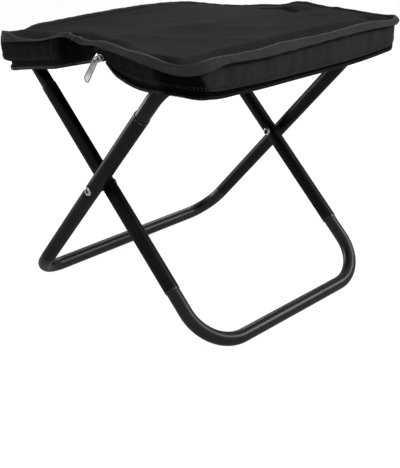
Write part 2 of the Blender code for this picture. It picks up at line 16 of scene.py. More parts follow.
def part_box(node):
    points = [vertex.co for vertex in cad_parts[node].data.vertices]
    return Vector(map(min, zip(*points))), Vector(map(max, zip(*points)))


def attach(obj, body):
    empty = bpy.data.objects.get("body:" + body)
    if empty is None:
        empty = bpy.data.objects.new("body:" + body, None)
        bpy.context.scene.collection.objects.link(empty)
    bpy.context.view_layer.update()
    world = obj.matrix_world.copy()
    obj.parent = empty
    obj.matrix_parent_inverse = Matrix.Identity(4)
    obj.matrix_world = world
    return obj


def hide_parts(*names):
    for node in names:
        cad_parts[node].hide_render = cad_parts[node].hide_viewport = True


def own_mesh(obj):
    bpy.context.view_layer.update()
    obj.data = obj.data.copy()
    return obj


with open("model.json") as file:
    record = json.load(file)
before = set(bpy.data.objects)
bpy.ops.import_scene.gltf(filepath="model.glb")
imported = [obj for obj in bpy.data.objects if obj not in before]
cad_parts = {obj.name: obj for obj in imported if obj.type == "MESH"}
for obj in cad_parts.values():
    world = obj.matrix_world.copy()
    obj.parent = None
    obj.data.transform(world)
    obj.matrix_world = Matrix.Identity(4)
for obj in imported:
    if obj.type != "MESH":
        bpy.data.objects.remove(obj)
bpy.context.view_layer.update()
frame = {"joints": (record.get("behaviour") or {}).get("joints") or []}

# Places that the frame gives
JOINTS = {joint["name"]: joint for joint in frame["joints"]}
PIVOT = Vector(JOINTS["frame_fold"]["pos_m"])
RIGHT_RAIL = Vector(JOINTS["seat_right_fold"]["pos_m"])
LEFT_RAIL = Vector(JOINTS["seat_left_fold"]["pos_m"])
TAB_PIVOT = Vector(JOINTS["zip_tab_swing"]["pos_m"])
TAB_ACROSS = -Vector(JOINTS["zip_tab_swing"]["axis"])
SEAT_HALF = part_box("seat_panel_right")[1].y
WALL_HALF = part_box("zip_tape_right")[1].y
TUNNEL_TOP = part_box("rail_tunnel_right")[1].z

# Tubes
SLEEVE_R = 0.0077
RAIL_R = 0.0070
TUBE_WALL = 0.0006
TUBE_SIDES = 40
FOOT_HALF = 0.1382
SEAT_RAIL_REACH = 0.3765
SLEEVE_TOP_REACH = 0.3195
SOCKET_DEPTH = 0.050
INNER_FOOT_JOINT = 0.0690
OUTER_FOOT_JOINT = 0.0410
SEAT_RAIL_BEND = 0.035
INNER_FOOT_BEND = 0.045
OUTER_FOOT_BEND = 0.035
NECK_LENGTH = 0.0012
BEND_STEPS = 18
RUB_REACH = 0.0012
RIVET_DENT = 0.0012
RIVET_HOLLOW_R = 0.0022
RIVET_DENT_REACH = 0.0058

# The seat cloth
PANEL_GAP = 0.0003
PANEL_T = 0.0020
CLOTH_T = 0.0008
CELL = 0.0022
RIM_TUCK = 0.0016
RIGHT_SIDE_TUCK = 0.0050
LEFT_SIDE_TUCK = 0.0010
SEAT_SAG = 0.0035
SETTLE_ROUNDS = 1600

# Corner radii of the seat, as (front, rear)
RIGHT_CORNERS = (0.028, 0.021)
LEFT_CORNERS = (0.047, 0.028)

# Heights above the panels' flat level of the bound edge's crest and of its lower edge, as (place along
# the edge, height), and what the corners add to them, as (front, rear)
FRONT_CREST = ((-0.113, 0.0064), (-0.106, 0.0057), (-0.093, 0.0032), (-0.072, 0.0025), (-0.0485, 0.0041),
               (-0.030, 0.0075), (-0.015, 0.0117), (0.003, 0.0151), (0.009, 0.0146), (0.014, 0.0128),
               (0.019, 0.0134), (0.026, 0.0116), (0.035, 0.0109), (0.052, 0.0124), (0.067, 0.0117),
               (0.080, 0.0097), (0.117, 0.0070), (0.133, 0.0046))
FRONT_SKIRT = ((-0.113, -0.0042), (-0.070, 0.0004), (-0.033, 0.0053), (-0.015, 0.0087), (0.002, 0.0111),
               (0.010, 0.0110), (0.021, 0.0091), (0.030, 0.0074), (0.050, 0.0090), (0.068, 0.0070),
               (0.087, 0.0054), (0.113, 0.0018), (0.133, -0.0008))
REAR_CREST = ((-0.113, -0.0050), (-0.075, -0.0040), (-0.038, -0.0008), (0.003, 0.0027), (0.012, 0.0050),
              (0.028, 0.0060), (0.049, 0.0037), (0.079, 0.0025), (0.102, 0.0009), (0.127, -0.0005))
REAR_SKIRT = ((-0.113, -0.0115), (0.003, -0.0040), (0.035, -0.0015), (0.127, -0.0070))
RIGHT_CREST = ((-0.122, 0.0032), (-0.113, 0.0034), (-0.090, 0.0024), (-0.060, 0.0018), (-0.036, 0.0030),
               (-0.010, 0.0021), (0.030, 0.0014), (0.087, 0.0021), (0.106, 0.0009), (0.122, -0.0008))
RIGHT_SKIRT = ((-0.119, -0.0062), (-0.100, -0.0036), (-0.075, -0.0050), (0.060, -0.0047), (0.108, -0.0054),
               (0.125, -0.0066))
LEFT_CREST = ((-0.110, -0.0026), (-0.098, -0.0021), (-0.085, 0.0008), (-0.066, 0.0013), (0.061, 0.0020),
              (0.092, 0.0009), (0.121, -0.0014))
LEFT_SKIRT = ((-0.110, -0.0090), (-0.085, -0.0062), (0.121, -0.0080))
FRONT_FLARE = ((-0.113, 0.0), (-0.060, 0.0010), (0.0, 0.0010), (0.030, 0.0030), (0.060, 0.0045), (0.130, 0.0050))
REAR_FLARE = ((-0.113, 0.0015), (0.113, 0.0015))
SIDE_FLARE = ((-0.119, 0.0015), (0.119, 0.0010))
RIGHT_CORNER_CREST = (-0.0028, 0.0012)
RIGHT_CORNER_SKIRT = (-0.0035, 0.0030)
LEFT_CORNER_CREST = (0.0, 0.0)
LEFT_CORNER_SKIRT = (0.0, 0.0)

# Heights of the side walls' hems above the flat level, along the front and rear edges by distance from
# the stool's middle and along the outer edges from front to rear
RIGHT_END_HEM = ((0.0553, -0.0025), (0.063, -0.0080), (0.079, -0.0131), (0.0965, -0.0163), (0.133, -0.0172))
RIGHT_SIDE_HEM = ((-0.118, -0.0230), (-0.107, -0.0248), (-0.084, -0.0262), (-0.060, -0.0275), (-0.009, -0.0286),
                  (0.092, -0.0287), (0.125, -0.0269))
LEFT_END_HEM = ((0.0308, -0.0140), (0.051, -0.0167), (0.0895, -0.0212), (0.110, -0.0238))
LEFT_SIDE_HEM = ((-0.100, -0.0250), (0.100, -0.0240))

# Soft folds in the seat cloth, as (start, end, height, width); each dies away at its ends
CLOTH_FOLDS = (
    ((-0.040, -0.124), (0.080, -0.131), 0.0055, 0.011),
    ((0.1270, -0.108), (0.1270, 0.112), 0.0042, 0.010),
    ((-0.1289, -0.095), (-0.1289, 0.112), 0.0024, 0.008),
    ((0.116, -0.136), (0.144, -0.129), -0.0045, 0.0045),
    ((0.138, -0.130), (0.148, -0.106), -0.0035, 0.0050),
    ((0.104, -0.139), (0.132, -0.128), 0.0018, 0.004),
    ((0.112, -0.136), (0.126, -0.118), 0.0022, 0.006),
    ((0.004, -0.120), (0.018, 0.030), 0.0025, 0.020),
    ((-0.095, -0.095), (-0.060, -0.075), 0.0030, 0.020),
    ((-0.122, -0.122), (-0.056, -0.126), 0.0050, 0.013),
    ((-0.014, 0.116), (0.010, 0.119), -0.0045, 0.0030),
    ((0.010, 0.120), (0.028, 0.119), -0.0036, 0.0026),
    ((0.026, 0.119), (0.044, 0.112), -0.0048, 0.0028),
    ((0.074, 0.114), (0.086, 0.108), -0.0012, 0.0060),
    ((0.010, 0.132), (0.050, 0.128), 0.0025, 0.007),
    ((0.118, 0.136), (0.146, 0.122), -0.0035, 0.008),
    ((0.020, -0.080), (0.110, -0.010), 0.0009, 0.010),
    ((-0.020, -0.050), (0.090, 0.060), 0.0009, 0.012),
    ((-0.080, -0.020), (0.000, 0.060), 0.0009, 0.012),
)

# The bound edge, as an outline of (outward, share of the way from crest to lower edge), and the walls
BINDING_SECTION = ((-0.0034, 1.00), (-0.0030, 0.93), (-0.0014, 0.88), (-0.0012, 0.55), (-0.0012, 0.28), (-0.0010, 0.10), (-0.0004, 0.015), (0.0003, 0.0),
                   (0.0010, 0.05), (0.0013, 0.13), (0.0012, 0.21), (0.0017, 0.29), (0.0022, 0.46),
                   (0.0027, 0.66), (0.0031, 0.85), (0.0031, 0.94), (0.0025, 1.0), (0.0016, 0.97),
                   (0.0009, 0.92))
BINDING_OFFSET = 0.0008
BINDING_SEAM = 0.34
PUCKER = 0.0009
PUCKER_PLACE = 0.012
PUCKER_TURNS = 820.0
RIM_STEP = 0.0020
WALL_T = 0.0010
WALL_INSET = 0.0009
WALL_TUCK = 0.6
WALL_BELLY = 0.0016
WALL_WRINKLE = 0.0017
HEM_BAND = 0.0042
HEM_STEP = 0.0005
RIGHT_WALL_START = 0.0553
LEFT_WALL_START = 0.0308
FLAP_RIGHT_END = RIGHT_WALL_START
FLAP_SINK = 0.0060
FLAP_RIGHT_HEM = -0.0018
FLAP_RIGHT_TAPE = 0.0012
RIGHT_END_TAPE = ((0.0553, 0.0030), (0.070, 0.0048), (0.133, 0.0048))
RIGHT_SIDE_TAPE = ((-0.118, 0.0048), (-0.060, 0.0036), (0.125, 0.0028))
LEFT_END_TAPE = ((0.0308, 0.0062), (0.060, 0.0060), (0.105, 0.0072))
LEFT_SIDE_TAPE = ((-0.100, 0.0070), (0.100, 0.0060))
RIGHT_TAPE_PINCH = 0.0045
LEFT_TAPE_PINCH = 0.0055
LEFT_BINDING_PINCH = 0.0032
LEFT_WALL_BULGE = 0.0030
RIGHT_WALL_UNDERCUT = 0.0055
# Strengths and reach of the painted shade on the walls
RIGHT_WALL_SHADE = 0.25
LEFT_WALL_SHADE = 0.95
WALL_SHADE_REACH = 0.55
FRONT_WALL_SHADE = 0.45
TAPE_T = 0.0007
TAPE_TUCK = 0.0020
TAPE_INSET = 0.0010
COIL_R = 0.0013
COIL_PITCH = 0.0015
COIL_BACKING = 0.0021
STITCH_PITCH = 0.0034
STITCH_LENGTH = 0.0024
STITCH_R = 0.00030

# The zip hardware
SLIDER_LENGTH = 0.0086
SLIDER_WIDTH = 0.0064
SLIDER_T = 0.0048
BAIL_WIRE_R = 0.0006
TAB_LENGTH = 0.0300
TAB_WIDTH = 0.0074
TAB_TOP_WIDTH = 0.0060
TAB_T = 0.0012
TAB_RIM = 0.0011
TAB_WINDOW_LENGTH = 0.0048

# The camera of the picture
CAMERA_PLACE = (0.6127, -0.5339, 0.4082)
CAMERA_AZIMUTH = 49.016
CAMERA_ELEVATION = 23.787
CAMERA_ROLL = -3.400
CAMERA_LENS_MM = 60.24

TOP_LEVEL = TUNNEL_TOP + PANEL_GAP + PANEL_T
UNDER_LEVEL = TUNNEL_TOP + PANEL_GAP
WALL_TOP_LEVEL = UNDER_LEVEL - PANEL_GAP
UP = Vector((0.0, 0.0, 1.0))


# Node helpers
class Wires:
    """A node tree with short calls to add nodes and join them."""

    def __init__(self, tree):
        self.tree = tree

    def add(self, kind, settings=None, **inputs):
        """Add a node; inputs are given by socket name, spaces as underscores, as values or sockets."""
        node = self.tree.nodes.new(kind)
        for key, value in (settings or {}).items():
            setattr(node, key, value)
        for key, value in inputs.items():
            self.feed(node, key.replace("_", " "), value)
        return node

    def feed(self, node, key, value):
        socket = next(entry for entry in node.inputs if entry.name == key and entry.enabled)
        if isinstance(value, bpy.types.NodeSocket):
            self.tree.links.new(value, socket)
        else:
            socket.default_value = value

    def math(self, operation, *values):
        node = self.tree.nodes.new("ShaderNodeMath")
        node.operation = operation
        for socket, value in zip(node.inputs, values):
            if isinstance(value, bpy.types.NodeSocket):
                self.tree.links.new(value, socket)
            else:
                socket.default_value = value
        return node.outputs[0]

    def blend(self, share, first, second):
        node = self.tree.nodes.new("ShaderNodeMix")
        node.data_type = "RGBA"
        for socket, value in ((node.inputs[0], share), (node.inputs[6], first), (node.inputs[7], second)):
            if isinstance(value, bpy.types.NodeSocket):
                self.tree.links.new(value, socket)
            else:
                socket.default_value = value
        return node.outputs[2]


def shader_group(name, inputs, outputs):
    """An empty shader group with named sockets; returns its wires, input sockets and output node."""
    tree = bpy.data.node_groups.new(name, "ShaderNodeTree")
    for title, kind, value in inputs:
        socket = tree.interface.new_socket(title, in_out="INPUT", socket_type=kind)
        if value is not None:
            socket.default_value = value
    for title, kind in outputs:
        tree.interface.new_socket(title, in_out="OUTPUT", socket_type=kind)
    wires = Wires(tree)
    return wires, wires.add("NodeGroupInput").outputs, wires.add("NodeGroupOutput")


def plain_weave_group():
    """Threads over and under each other, as a height and a shade."""
    wires, given, out = shader_group(
        "plain weave",
        [("Vector", "NodeSocketVector", None), ("Threads", "NodeSocketFloat", 1500.0)],
        [("Height", "NodeSocketFloat"), ("Shade", "NodeSocketFloat")])
    split = wires.add("ShaderNodeSeparateXYZ", Vector=given["Vector"])
    across = wires.math("MULTIPLY", split.outputs["X"], given["Threads"])
    along = wires.math("MULTIPLY", split.outputs["Y"], given["Threads"])
    warp = wires.math("SINE", wires.math("MULTIPLY", wires.math("FRACT", across), math.pi))
    weft = wires.math("SINE", wires.math("MULTIPLY", wires.math("FRACT", along), math.pi))
    cells = wires.math("ADD", wires.math("FLOOR", across), wires.math("FLOOR", along))
    parity = wires.math("PINGPONG", cells, 1.0)
    warp_over = wires.math("MULTIPLY", parity, warp)
    weft_over = wires.math("MULTIPLY", wires.math("SUBTRACT", 1.0, parity), weft)
    height = wires.math("ADD", warp_over, weft_over)
    wires.feed(out, "Height", height)
    wires.feed(out, "Shade", wires.math("MULTIPLY_ADD", height, 0.35, 0.72))
    return wires.tree


def mottle_group():
    """Uneven dye and dust: broad cloudy patches with fine specks, from 0 to 1."""
    wires, given, out = shader_group(
        "mottle",
        [("Vector", "NodeSocketVector", None), ("Patch", "NodeSocketFloat", 20.0),
         ("Speck", "NodeSocketFloat", 900.0)],
        [("Cloud", "NodeSocketFloat"), ("Dust", "NodeSocketFloat")])
    cloud = wires.add("ShaderNodeTexNoise", Vector=given["Vector"], Scale=given["Patch"], Detail=4.0)
    speck = wires.add("ShaderNodeTexNoise", Vector=given["Vector"], Scale=given["Speck"], Detail=2.0)
    sharp = wires.add("ShaderNodeMapRange", {"clamp": True}, Value=speck.outputs["Fac"],
                      From_Min=0.52, From_Max=0.78)
    wires.feed(out, "Cloud", cloud.outputs["Fac"])
    wires.feed(out, "Dust", wires.math("MULTIPLY", sharp.outputs["Result"], cloud.outputs["Fac"]))
    return wires.tree


def rub_and_highlight_group():
    """Where edges are lightened, as rubbed wear and as a painted highlight: the piece's own per-vertex value, broken up
    by grain.
    """
    wires, given, out = shader_group(
        "rub and highlight",
        [("Vector", "NodeSocketVector", None), ("Grain", "NodeSocketFloat", 600.0)],
        [("Mask", "NodeSocketFloat")])
    rub_and_highlight = wires.add("ShaderNodeAttribute", {"attribute_name": "rub_and_highlight"})
    grain = wires.add("ShaderNodeTexNoise", Vector=given["Vector"], Scale=given["Grain"], Detail=3.0)
    rub_and_highlight_mask = wires.math("MULTIPLY", rub_and_highlight.outputs["Fac"], grain.outputs["Fac"])
    limit = wires.add("ShaderNodeMapRange", {"clamp": True}, Value=rub_and_highlight_mask, From_Min=0.30, From_Max=0.62)
    wires.feed(out, "Mask", limit.outputs["Result"])
    return wires.tree


PLAIN_WEAVE = plain_weave_group()
MOTTLE = mottle_group()
RUB_AND_HIGHLIGHT = rub_and_highlight_group()


def new_material(name, sockets):
    """A Principled material with constant sockets set; returns it, its wires and its shader."""
    material = bpy.data.materials.new(name)
    material.use_nodes = True
    wires = Wires(material.node_tree)
    shader = material.node_tree.nodes["Principled BSDF"]
    for key, value in sockets.items():
        shader.inputs[key].default_value = value
    return material, wires, shader


def grey(level, warm=0.0):
    return (level * (1.0 + warm), level, level * (1.0 - warm), 1.0)


def cloth_material(name, level, threads, depth, sheen, roughness):
    """Woven polyester: thread relief, uneven dye, a little pale dust on what stands out, and painted shade where the
    piece's shade mark darkens it.
    """
    material, wires, shader = new_material(name, {
        "Specular IOR Level": 0.001, "Sheen Weight": sheen, "Sheen Roughness": 0.45})
    coords = wires.add("ShaderNodeTexCoord")
    weave = wires.add("ShaderNodeGroup", {"node_tree": PLAIN_WEAVE}, Vector=coords.outputs["UV"],
                      Threads=threads)
    mottle = wires.add("ShaderNodeGroup", {"node_tree": MOTTLE}, Vector=coords.outputs["Object"],
                       Patch=26.0, Speck=1400.0)
    rub_and_highlight_mask = wires.add("ShaderNodeGroup", {"node_tree": RUB_AND_HIGHLIGHT}, Vector=coords.outputs["Object"],
                     Grain=420.0)
    dyed = wires.blend(mottle.outputs["Cloud"], grey(level * 0.82), grey(level * 1.18))
    dusty = wires.blend(mottle.outputs["Dust"], dyed, grey(level * 2.1, 0.02))
    rubbed = wires.blend(rub_and_highlight_mask.outputs["Mask"], dusty, grey(level * 1.9))
    # Painted shade: where the piece's shade mark says, the cloth is darkened nearly to black.
    painted_shade = wires.add("ShaderNodeAttribute", {"attribute_name": "painted_shade"})
    rubbed = wires.blend(painted_shade.outputs["Fac"], rubbed, grey(level * 0.10))
    shaded = wires.add("ShaderNodeMix", {"data_type": "RGBA", "blend_type": "MULTIPLY"})
    shaded.inputs[0].default_value = 1.0
    wires.tree.links.new(rubbed, shaded.inputs[6])
    wires.tree.links.new(weave.outputs["Shade"], shaded.inputs[7])
    wires.feed(shader, "Base Color", shaded.outputs[2])
    wires.feed(shader, "Roughness", wires.math("MULTIPLY_ADD", weave.outputs["Height"], -0.10, roughness))
    bump = wires.add("ShaderNodeBump", Height=weave.outputs["Height"], Strength=0.55, Distance=depth)
    wires.feed(shader, "Normal", bump.outputs["Normal"])
    return material


def ribbed_material(name, level, ribs, sheen):
    """Woven tape: close cross ribs along its length, and crests lightened as rubbed wear and, on the binding, as a
    painted highlight.
    """
    material, wires, shader = new_material(name, {
        "Specular IOR Level": 0.02, "Sheen Weight": sheen, "Sheen Roughness": 0.5})
    coords = wires.add("ShaderNodeTexCoord")
    split = wires.add("ShaderNodeSeparateXYZ", Vector=coords.outputs["UV"])
    turn = wires.math("MULTIPLY", split.outputs["X"], ribs * 2.0 * math.pi)
    rib = wires.math("MULTIPLY_ADD", wires.math("SINE", turn), 0.5, 0.5)
    mottle = wires.add("ShaderNodeGroup", {"node_tree": MOTTLE}, Vector=coords.outputs["Object"],
                       Patch=34.0, Speck=1200.0)
    rub_and_highlight_mask = wires.add("ShaderNodeGroup", {"node_tree": RUB_AND_HIGHLIGHT}, Vector=coords.outputs["Object"],
                     Grain=380.0)
    dyed = wires.blend(mottle.outputs["Cloud"], grey(level * 0.78), grey(level * 1.22))
    # The grooves between the ribs are painted darker: painted shade.
    deep = wires.blend(rib, grey(level * 0.62), dyed)
    # Lighter where the rub mark says: rubbed wear, and along the binding's crest a painted highlight.
    rubbed = wires.blend(rub_and_highlight_mask.outputs["Mask"], deep, grey(level * 1.8))
    wires.feed(shader, "Base Color", rubbed)
    wires.feed(shader, "Roughness", wires.math("MULTIPLY_ADD", rib, -0.10, 0.90))
    bump = wires.add("ShaderNodeBump", Height=rib, Strength=0.6, Distance=0.0003)
    wires.feed(shader, "Normal", bump.outputs["Normal"])
    return material


def powder_coat_material(name, shine, blur):
    """Black powder coat: fine orange peel, faint dust, metal showing at rubbed tube ends."""
    material, wires, shader = new_material(name, {
        "Specular IOR Level": 0.0, "Coat Roughness": blur, "Coat IOR": 1.6})
    coords = wires.add("ShaderNodeTexCoord")
    mottle = wires.add("ShaderNodeGroup", {"node_tree": MOTTLE}, Vector=coords.outputs["Object"],
                       Patch=30.0, Speck=1600.0)
    rub_and_highlight_mask = wires.add("ShaderNodeGroup", {"node_tree": RUB_AND_HIGHLIGHT}, Vector=coords.outputs["Object"],
                     Grain=900.0)
    coat = wires.blend(mottle.outputs["Cloud"], grey(0.0030), grey(0.0055))
    dusty = wires.blend(mottle.outputs["Dust"], coat, grey(0.011))
    rubbed = wires.blend(rub_and_highlight_mask.outputs["Mask"], dusty, grey(0.11))
    wires.feed(shader, "Base Color", rubbed)
    wires.feed(shader, "Roughness", wires.math("MULTIPLY_ADD", mottle.outputs["Cloud"], 0.10, 0.30))
    wires.feed(shader, "Coat Weight", wires.math("MULTIPLY_ADD", mottle.outputs["Cloud"], shine * 0.6, shine * 0.7))
    wires.feed(shader, "Metallic", wires.math("MULTIPLY", rub_and_highlight_mask.outputs["Mask"], 0.7))
    peel = wires.add("ShaderNodeTexNoise", Vector=coords.outputs["Object"], Scale=1100.0, Detail=1.0)
    bump = wires.add("ShaderNodeBump", Height=peel.outputs["Fac"], Strength=0.03, Distance=0.0002)
    wires.feed(shader, "Normal", bump.outputs["Normal"])
    return material


def bright_metal_material():
    """Plated die-cast zinc: bright, with fine scratches, painted shade in the hollows, and lighter where rubbed, with a
    painted highlight on the tab's field.
    """
    material, wires, shader = new_material("bright plated metal", {"Metallic": 1.0})
    coords = wires.add("ShaderNodeTexCoord")
    mottle = wires.add("ShaderNodeGroup", {"node_tree": MOTTLE}, Vector=coords.outputs["Object"],
                       Patch=160.0, Speck=2600.0)
    rub_and_highlight_mask = wires.add("ShaderNodeGroup", {"node_tree": RUB_AND_HIGHLIGHT}, Vector=coords.outputs["Object"],
                     Grain=1500.0)
    plate = wires.blend(mottle.outputs["Cloud"], grey(0.13), grey(0.24))
    spotted = wires.blend(mottle.outputs["Dust"], plate, grey(0.12))
    # Painted shade: near black where the piece's shade mark says, as in the rivet's hollow.
    painted_shade = wires.add("ShaderNodeAttribute", {"attribute_name": "painted_shade"})
    hollow = wires.blend(painted_shade.outputs["Fac"], spotted, grey(0.006))
    bright = wires.blend(rub_and_highlight_mask.outputs["Mask"], hollow, grey(0.80))
    wires.feed(shader, "Base Color", bright)
    wires.feed(shader, "Roughness", wires.math("MULTIPLY_ADD", mottle.outputs["Cloud"], 0.20, 0.16))
    scratch = wires.add("ShaderNodeTexNoise", Vector=coords.outputs["Object"], Scale=2200.0, Detail=2.0)
    bump = wires.add("ShaderNodeBump", Height=scratch.outputs["Fac"], Strength=0.08, Distance=0.0001)
    wires.feed(shader, "Normal", bump.outputs["Normal"])
    return material


def black_nylon_material(name, level, roughness):
    """Moulded nylon: dull sheen with slight colour and gloss variation."""
    material, wires, shader = new_material(name, {"Specular IOR Level": 0.10})
    coords = wires.add("ShaderNodeTexCoord")
    mottle = wires.add("ShaderNodeGroup", {"node_tree": MOTTLE}, Vector=coords.outputs["Object"],
                       Patch=120.0, Speck=1800.0)
    tone = wires.blend(mottle.outputs["Cloud"], grey(level * 0.75), grey(level * 1.3))
    wires.feed(shader, "Base Color", wires.blend(mottle.outputs["Dust"], tone, grey(level * 2.4)))
    wires.feed(shader, "Roughness", wires.math("MULTIPLY_ADD", mottle.outputs["Cloud"], 0.2, roughness))
    grain = wires.add("ShaderNodeTexNoise", Vector=coords.outputs["Object"], Scale=1500.0, Detail=2.0)
    bump = wires.add("ShaderNodeBump", Height=grain.outputs["Fac"], Strength=0.15, Distance=0.0001)
    wires.feed(shader, "Normal", bump.outputs["Normal"])
    return material


SEAT_CLOTH = cloth_material("charcoal seat cloth", 0.0145, 1400.0, 0.00025, 0.013, 0.66)
WALL_CLOTH = cloth_material("black wall cloth", 0.031, 1600.0, 0.00022, 0.030, 0.92)
BINDING = ribbed_material("grey edge binding", 0.045, 1100.0, 0.02)
ZIP_TAPE = ribbed_material("black zip tape", 0.0045, 1300.0, 0.0)
WEBBING = ribbed_material("black webbing", 0.018, 700.0, 0.08)
ZIP_COIL = black_nylon_material("black nylon coil", 0.009, 0.38)
THREAD = black_nylon_material("grey sewing thread", 0.030, 0.55)
SPACER = black_nylon_material("black plastic", 0.014, 0.45)
SLEEVE_COAT = powder_coat_material("satin black powder coat", 0.13, 0.36)
SEAT_RAIL_COAT = powder_coat_material("thin gloss black powder coat", 0.20, 0.22)
FOOT_RAIL_COAT = powder_coat_material("gloss black powder coat", 0.30, 0.36)
BRIGHT_METAL = bright_metal_material()


# Mesh helpers
def piece(name, mesh, material, body, replaces=()):
    """A finished piece that rides on a body and may stand for solids."""
    mesh.name = name
    if material is not None:
        mesh.materials.clear()
        mesh.materials.append(material)
    obj = bpy.data.objects.new(name, mesh)
    bpy.context.scene.collection.objects.link(obj)
    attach(obj, body)
    if replaces:
        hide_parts(*replaces)
    return obj


def shade(mesh, sharp_deg=50.0):
    mesh.shade_smooth()
    mesh.set_sharp_from_angle(angle=math.radians(sharp_deg))
    return mesh


def face_outward(mesh):
    work = bmesh.new()
    work.from_mesh(mesh)
    bmesh.ops.remove_doubles(work, verts=work.verts, dist=1e-7)
    bmesh.ops.recalc_face_normals(work, faces=work.faces)
    work.to_mesh(mesh)
    work.free()
    return mesh


def set_rub_and_highlight(mesh, values):
    """How much each vertex is lightened, from 0 to 1: rubbed wear for the materials, and a painted highlight on the
    binding's crest and the tab's field.
    """
    mark = mesh.attributes.new("rub_and_highlight", "FLOAT", "POINT")
    mark.data.foreach_set("value", np.asarray(values, np.float32))


def set_painted_shade(mesh, values):
    """How much painted shade darkens each vertex, from 0 to 1."""
    mark = mesh.attributes.new("painted_shade", "FLOAT", "POINT")
    mark.data.foreach_set("value", np.asarray(values, np.float32))


def loft(rings, capped=True, sharp_deg=50.0):
    """A closed skin over a run of closed rings, with its UV in metres along and around."""
    rings = np.asarray(rings, float)
    count, around = rings.shape[:2]
    middles = rings.mean(axis=1)
    runs = np.concatenate(([0.0], np.cumsum(np.linalg.norm(np.diff(middles, axis=0), axis=1))))
    girth = np.linalg.norm(np.diff(np.concatenate((rings[0], rings[0][:1])), axis=0), axis=1)
    turns = np.concatenate(([0.0], np.cumsum(girth)))
    faces = []
    marks = []
    for ring in range(count - 1):
        for side in range(around):
            after = (side + 1) % around
            low, high = ring * around, (ring + 1) * around
            faces.append((low + side, low + after, high + after, high + side))
            marks += [(runs[ring], turns[side]), (runs[ring], turns[side + 1]),
                      (runs[ring + 1], turns[side + 1]), (runs[ring + 1], turns[side])]
    if capped:
        faces.append(tuple(reversed(range(around))))
        faces.append(tuple(range((count - 1) * around, count * around)))
        marks += [(runs[0], turn) for turn in reversed(turns[:-1])]
        marks += [(runs[-1], turn) for turn in turns[:-1]]
    mesh = bpy.data.meshes.new("loft")
    mesh.from_pydata(rings.reshape(-1, 3).tolist(), [], faces)
    layer = mesh.uv_layers.new(name="cloth")
    layer.data.foreach_set("uv", np.asarray(marks, np.float32).ravel())
    work = bmesh.new()
    work.from_mesh(mesh)
    bmesh.ops.recalc_face_normals(work, faces=work.faces)
    work.to_mesh(mesh)
    work.free()
    return shade(mesh, sharp_deg)


def through(points, at):
    """A smooth line through a few (place, height) points, read at some places."""
    places, heights = (np.array(column) for column in zip(*points))
    slopes = np.gradient(heights, places)
    at = np.clip(at, places[0], places[-1])
    index = np.clip(np.searchsorted(places, at) - 1, 0, len(places) - 2)
    span = places[index + 1] - places[index]
    share = (at - places[index]) / span
    rest = 1.0 - share
    return (heights[index] * (1.0 + 2.0 * share) * rest ** 2 + heights[index + 1] * share ** 2 * (1.0 + 2.0 * rest)
            + span * share * rest * (slopes[index] * rest - slopes[index + 1] * share))


def ripple(place, scale, seed):
    """Smooth chance value from -1 to 1 along a length."""
    return noise.noise(Vector((place * scale, seed, 0.37 * seed)))


def evaluated_mesh(obj):
    bpy.context.view_layer.update()
    mesh = bpy.data.meshes.new_from_object(obj.evaluated_get(bpy.context.evaluated_depsgraph_get()))
    bpy.data.objects.remove(obj, do_unlink=True)
    return mesh


def path_object(points, values=None):
    """A line of edges as a mesh object; values is a name and a number for each point."""
    mesh = bpy.data.meshes.new("path")
    mesh.from_pydata([tuple(place) for place in points], [(at, at + 1) for at in range(len(points) - 1)], [])
    for name, kind, numbers in values or ():
        mark = mesh.attributes.new(name, kind, "POINT")
        key = "vector" if kind == "FLOAT_VECTOR" else "value"
        mark.data.foreach_set(key, np.asarray(numbers, np.float32).ravel())
    obj = bpy.data.objects.new("path", mesh)
    bpy.context.scene.collection.objects.link(obj)
    return obj


# Geometry node trees
def node_tree(name, inputs):
    tree = bpy.data.node_groups.new(name, "GeometryNodeTree")
    tree.interface.new_socket("Geometry", in_out="INPUT", socket_type="NodeSocketGeometry")
    sockets = {title: tree.interface.new_socket(title, in_out="INPUT", socket_type=kind)
               for title, kind in inputs}
    tree.interface.new_socket("Geometry", in_out="OUTPUT", socket_type="NodeSocketGeometry")
    wires = Wires(tree)
    given = wires.add("NodeGroupInput").outputs
    keys = {title: socket.identifier for title, socket in sockets.items()}
    return wires, given, wires.add("NodeGroupOutput"), keys


def swept_tube_tree():
    """A round skin along a path; the path's girth value widens or narrows it."""
    wires, given, out, keys = node_tree("swept tube", [
        ("Radius", "NodeSocketFloat"), ("Sides", "NodeSocketInt"), ("Finish", "NodeSocketMaterial")])
    line = wires.add("GeometryNodeMeshToCurve", Mesh=given["Geometry"])
    ring = wires.add("GeometryNodeCurvePrimitiveCircle", Resolution=given["Sides"], Radius=given["Radius"])
    girth = wires.add("GeometryNodeInputNamedAttribute", {"data_type": "FLOAT"}, Name="girth")
    skin = wires.add("GeometryNodeCurveToMesh", Curve=line.outputs[0], Profile_Curve=ring.outputs[0],
                     Scale=girth.outputs[0])
    whole = wires.add("GeometryNodeRealizeInstances", Geometry=skin.outputs[0])
    made = wires.add("GeometryNodeSetMaterial", Geometry=whole.outputs[0], Material=given["Finish"])
    wires.feed(out, "Geometry", made.outputs[0])
    return wires.tree, keys


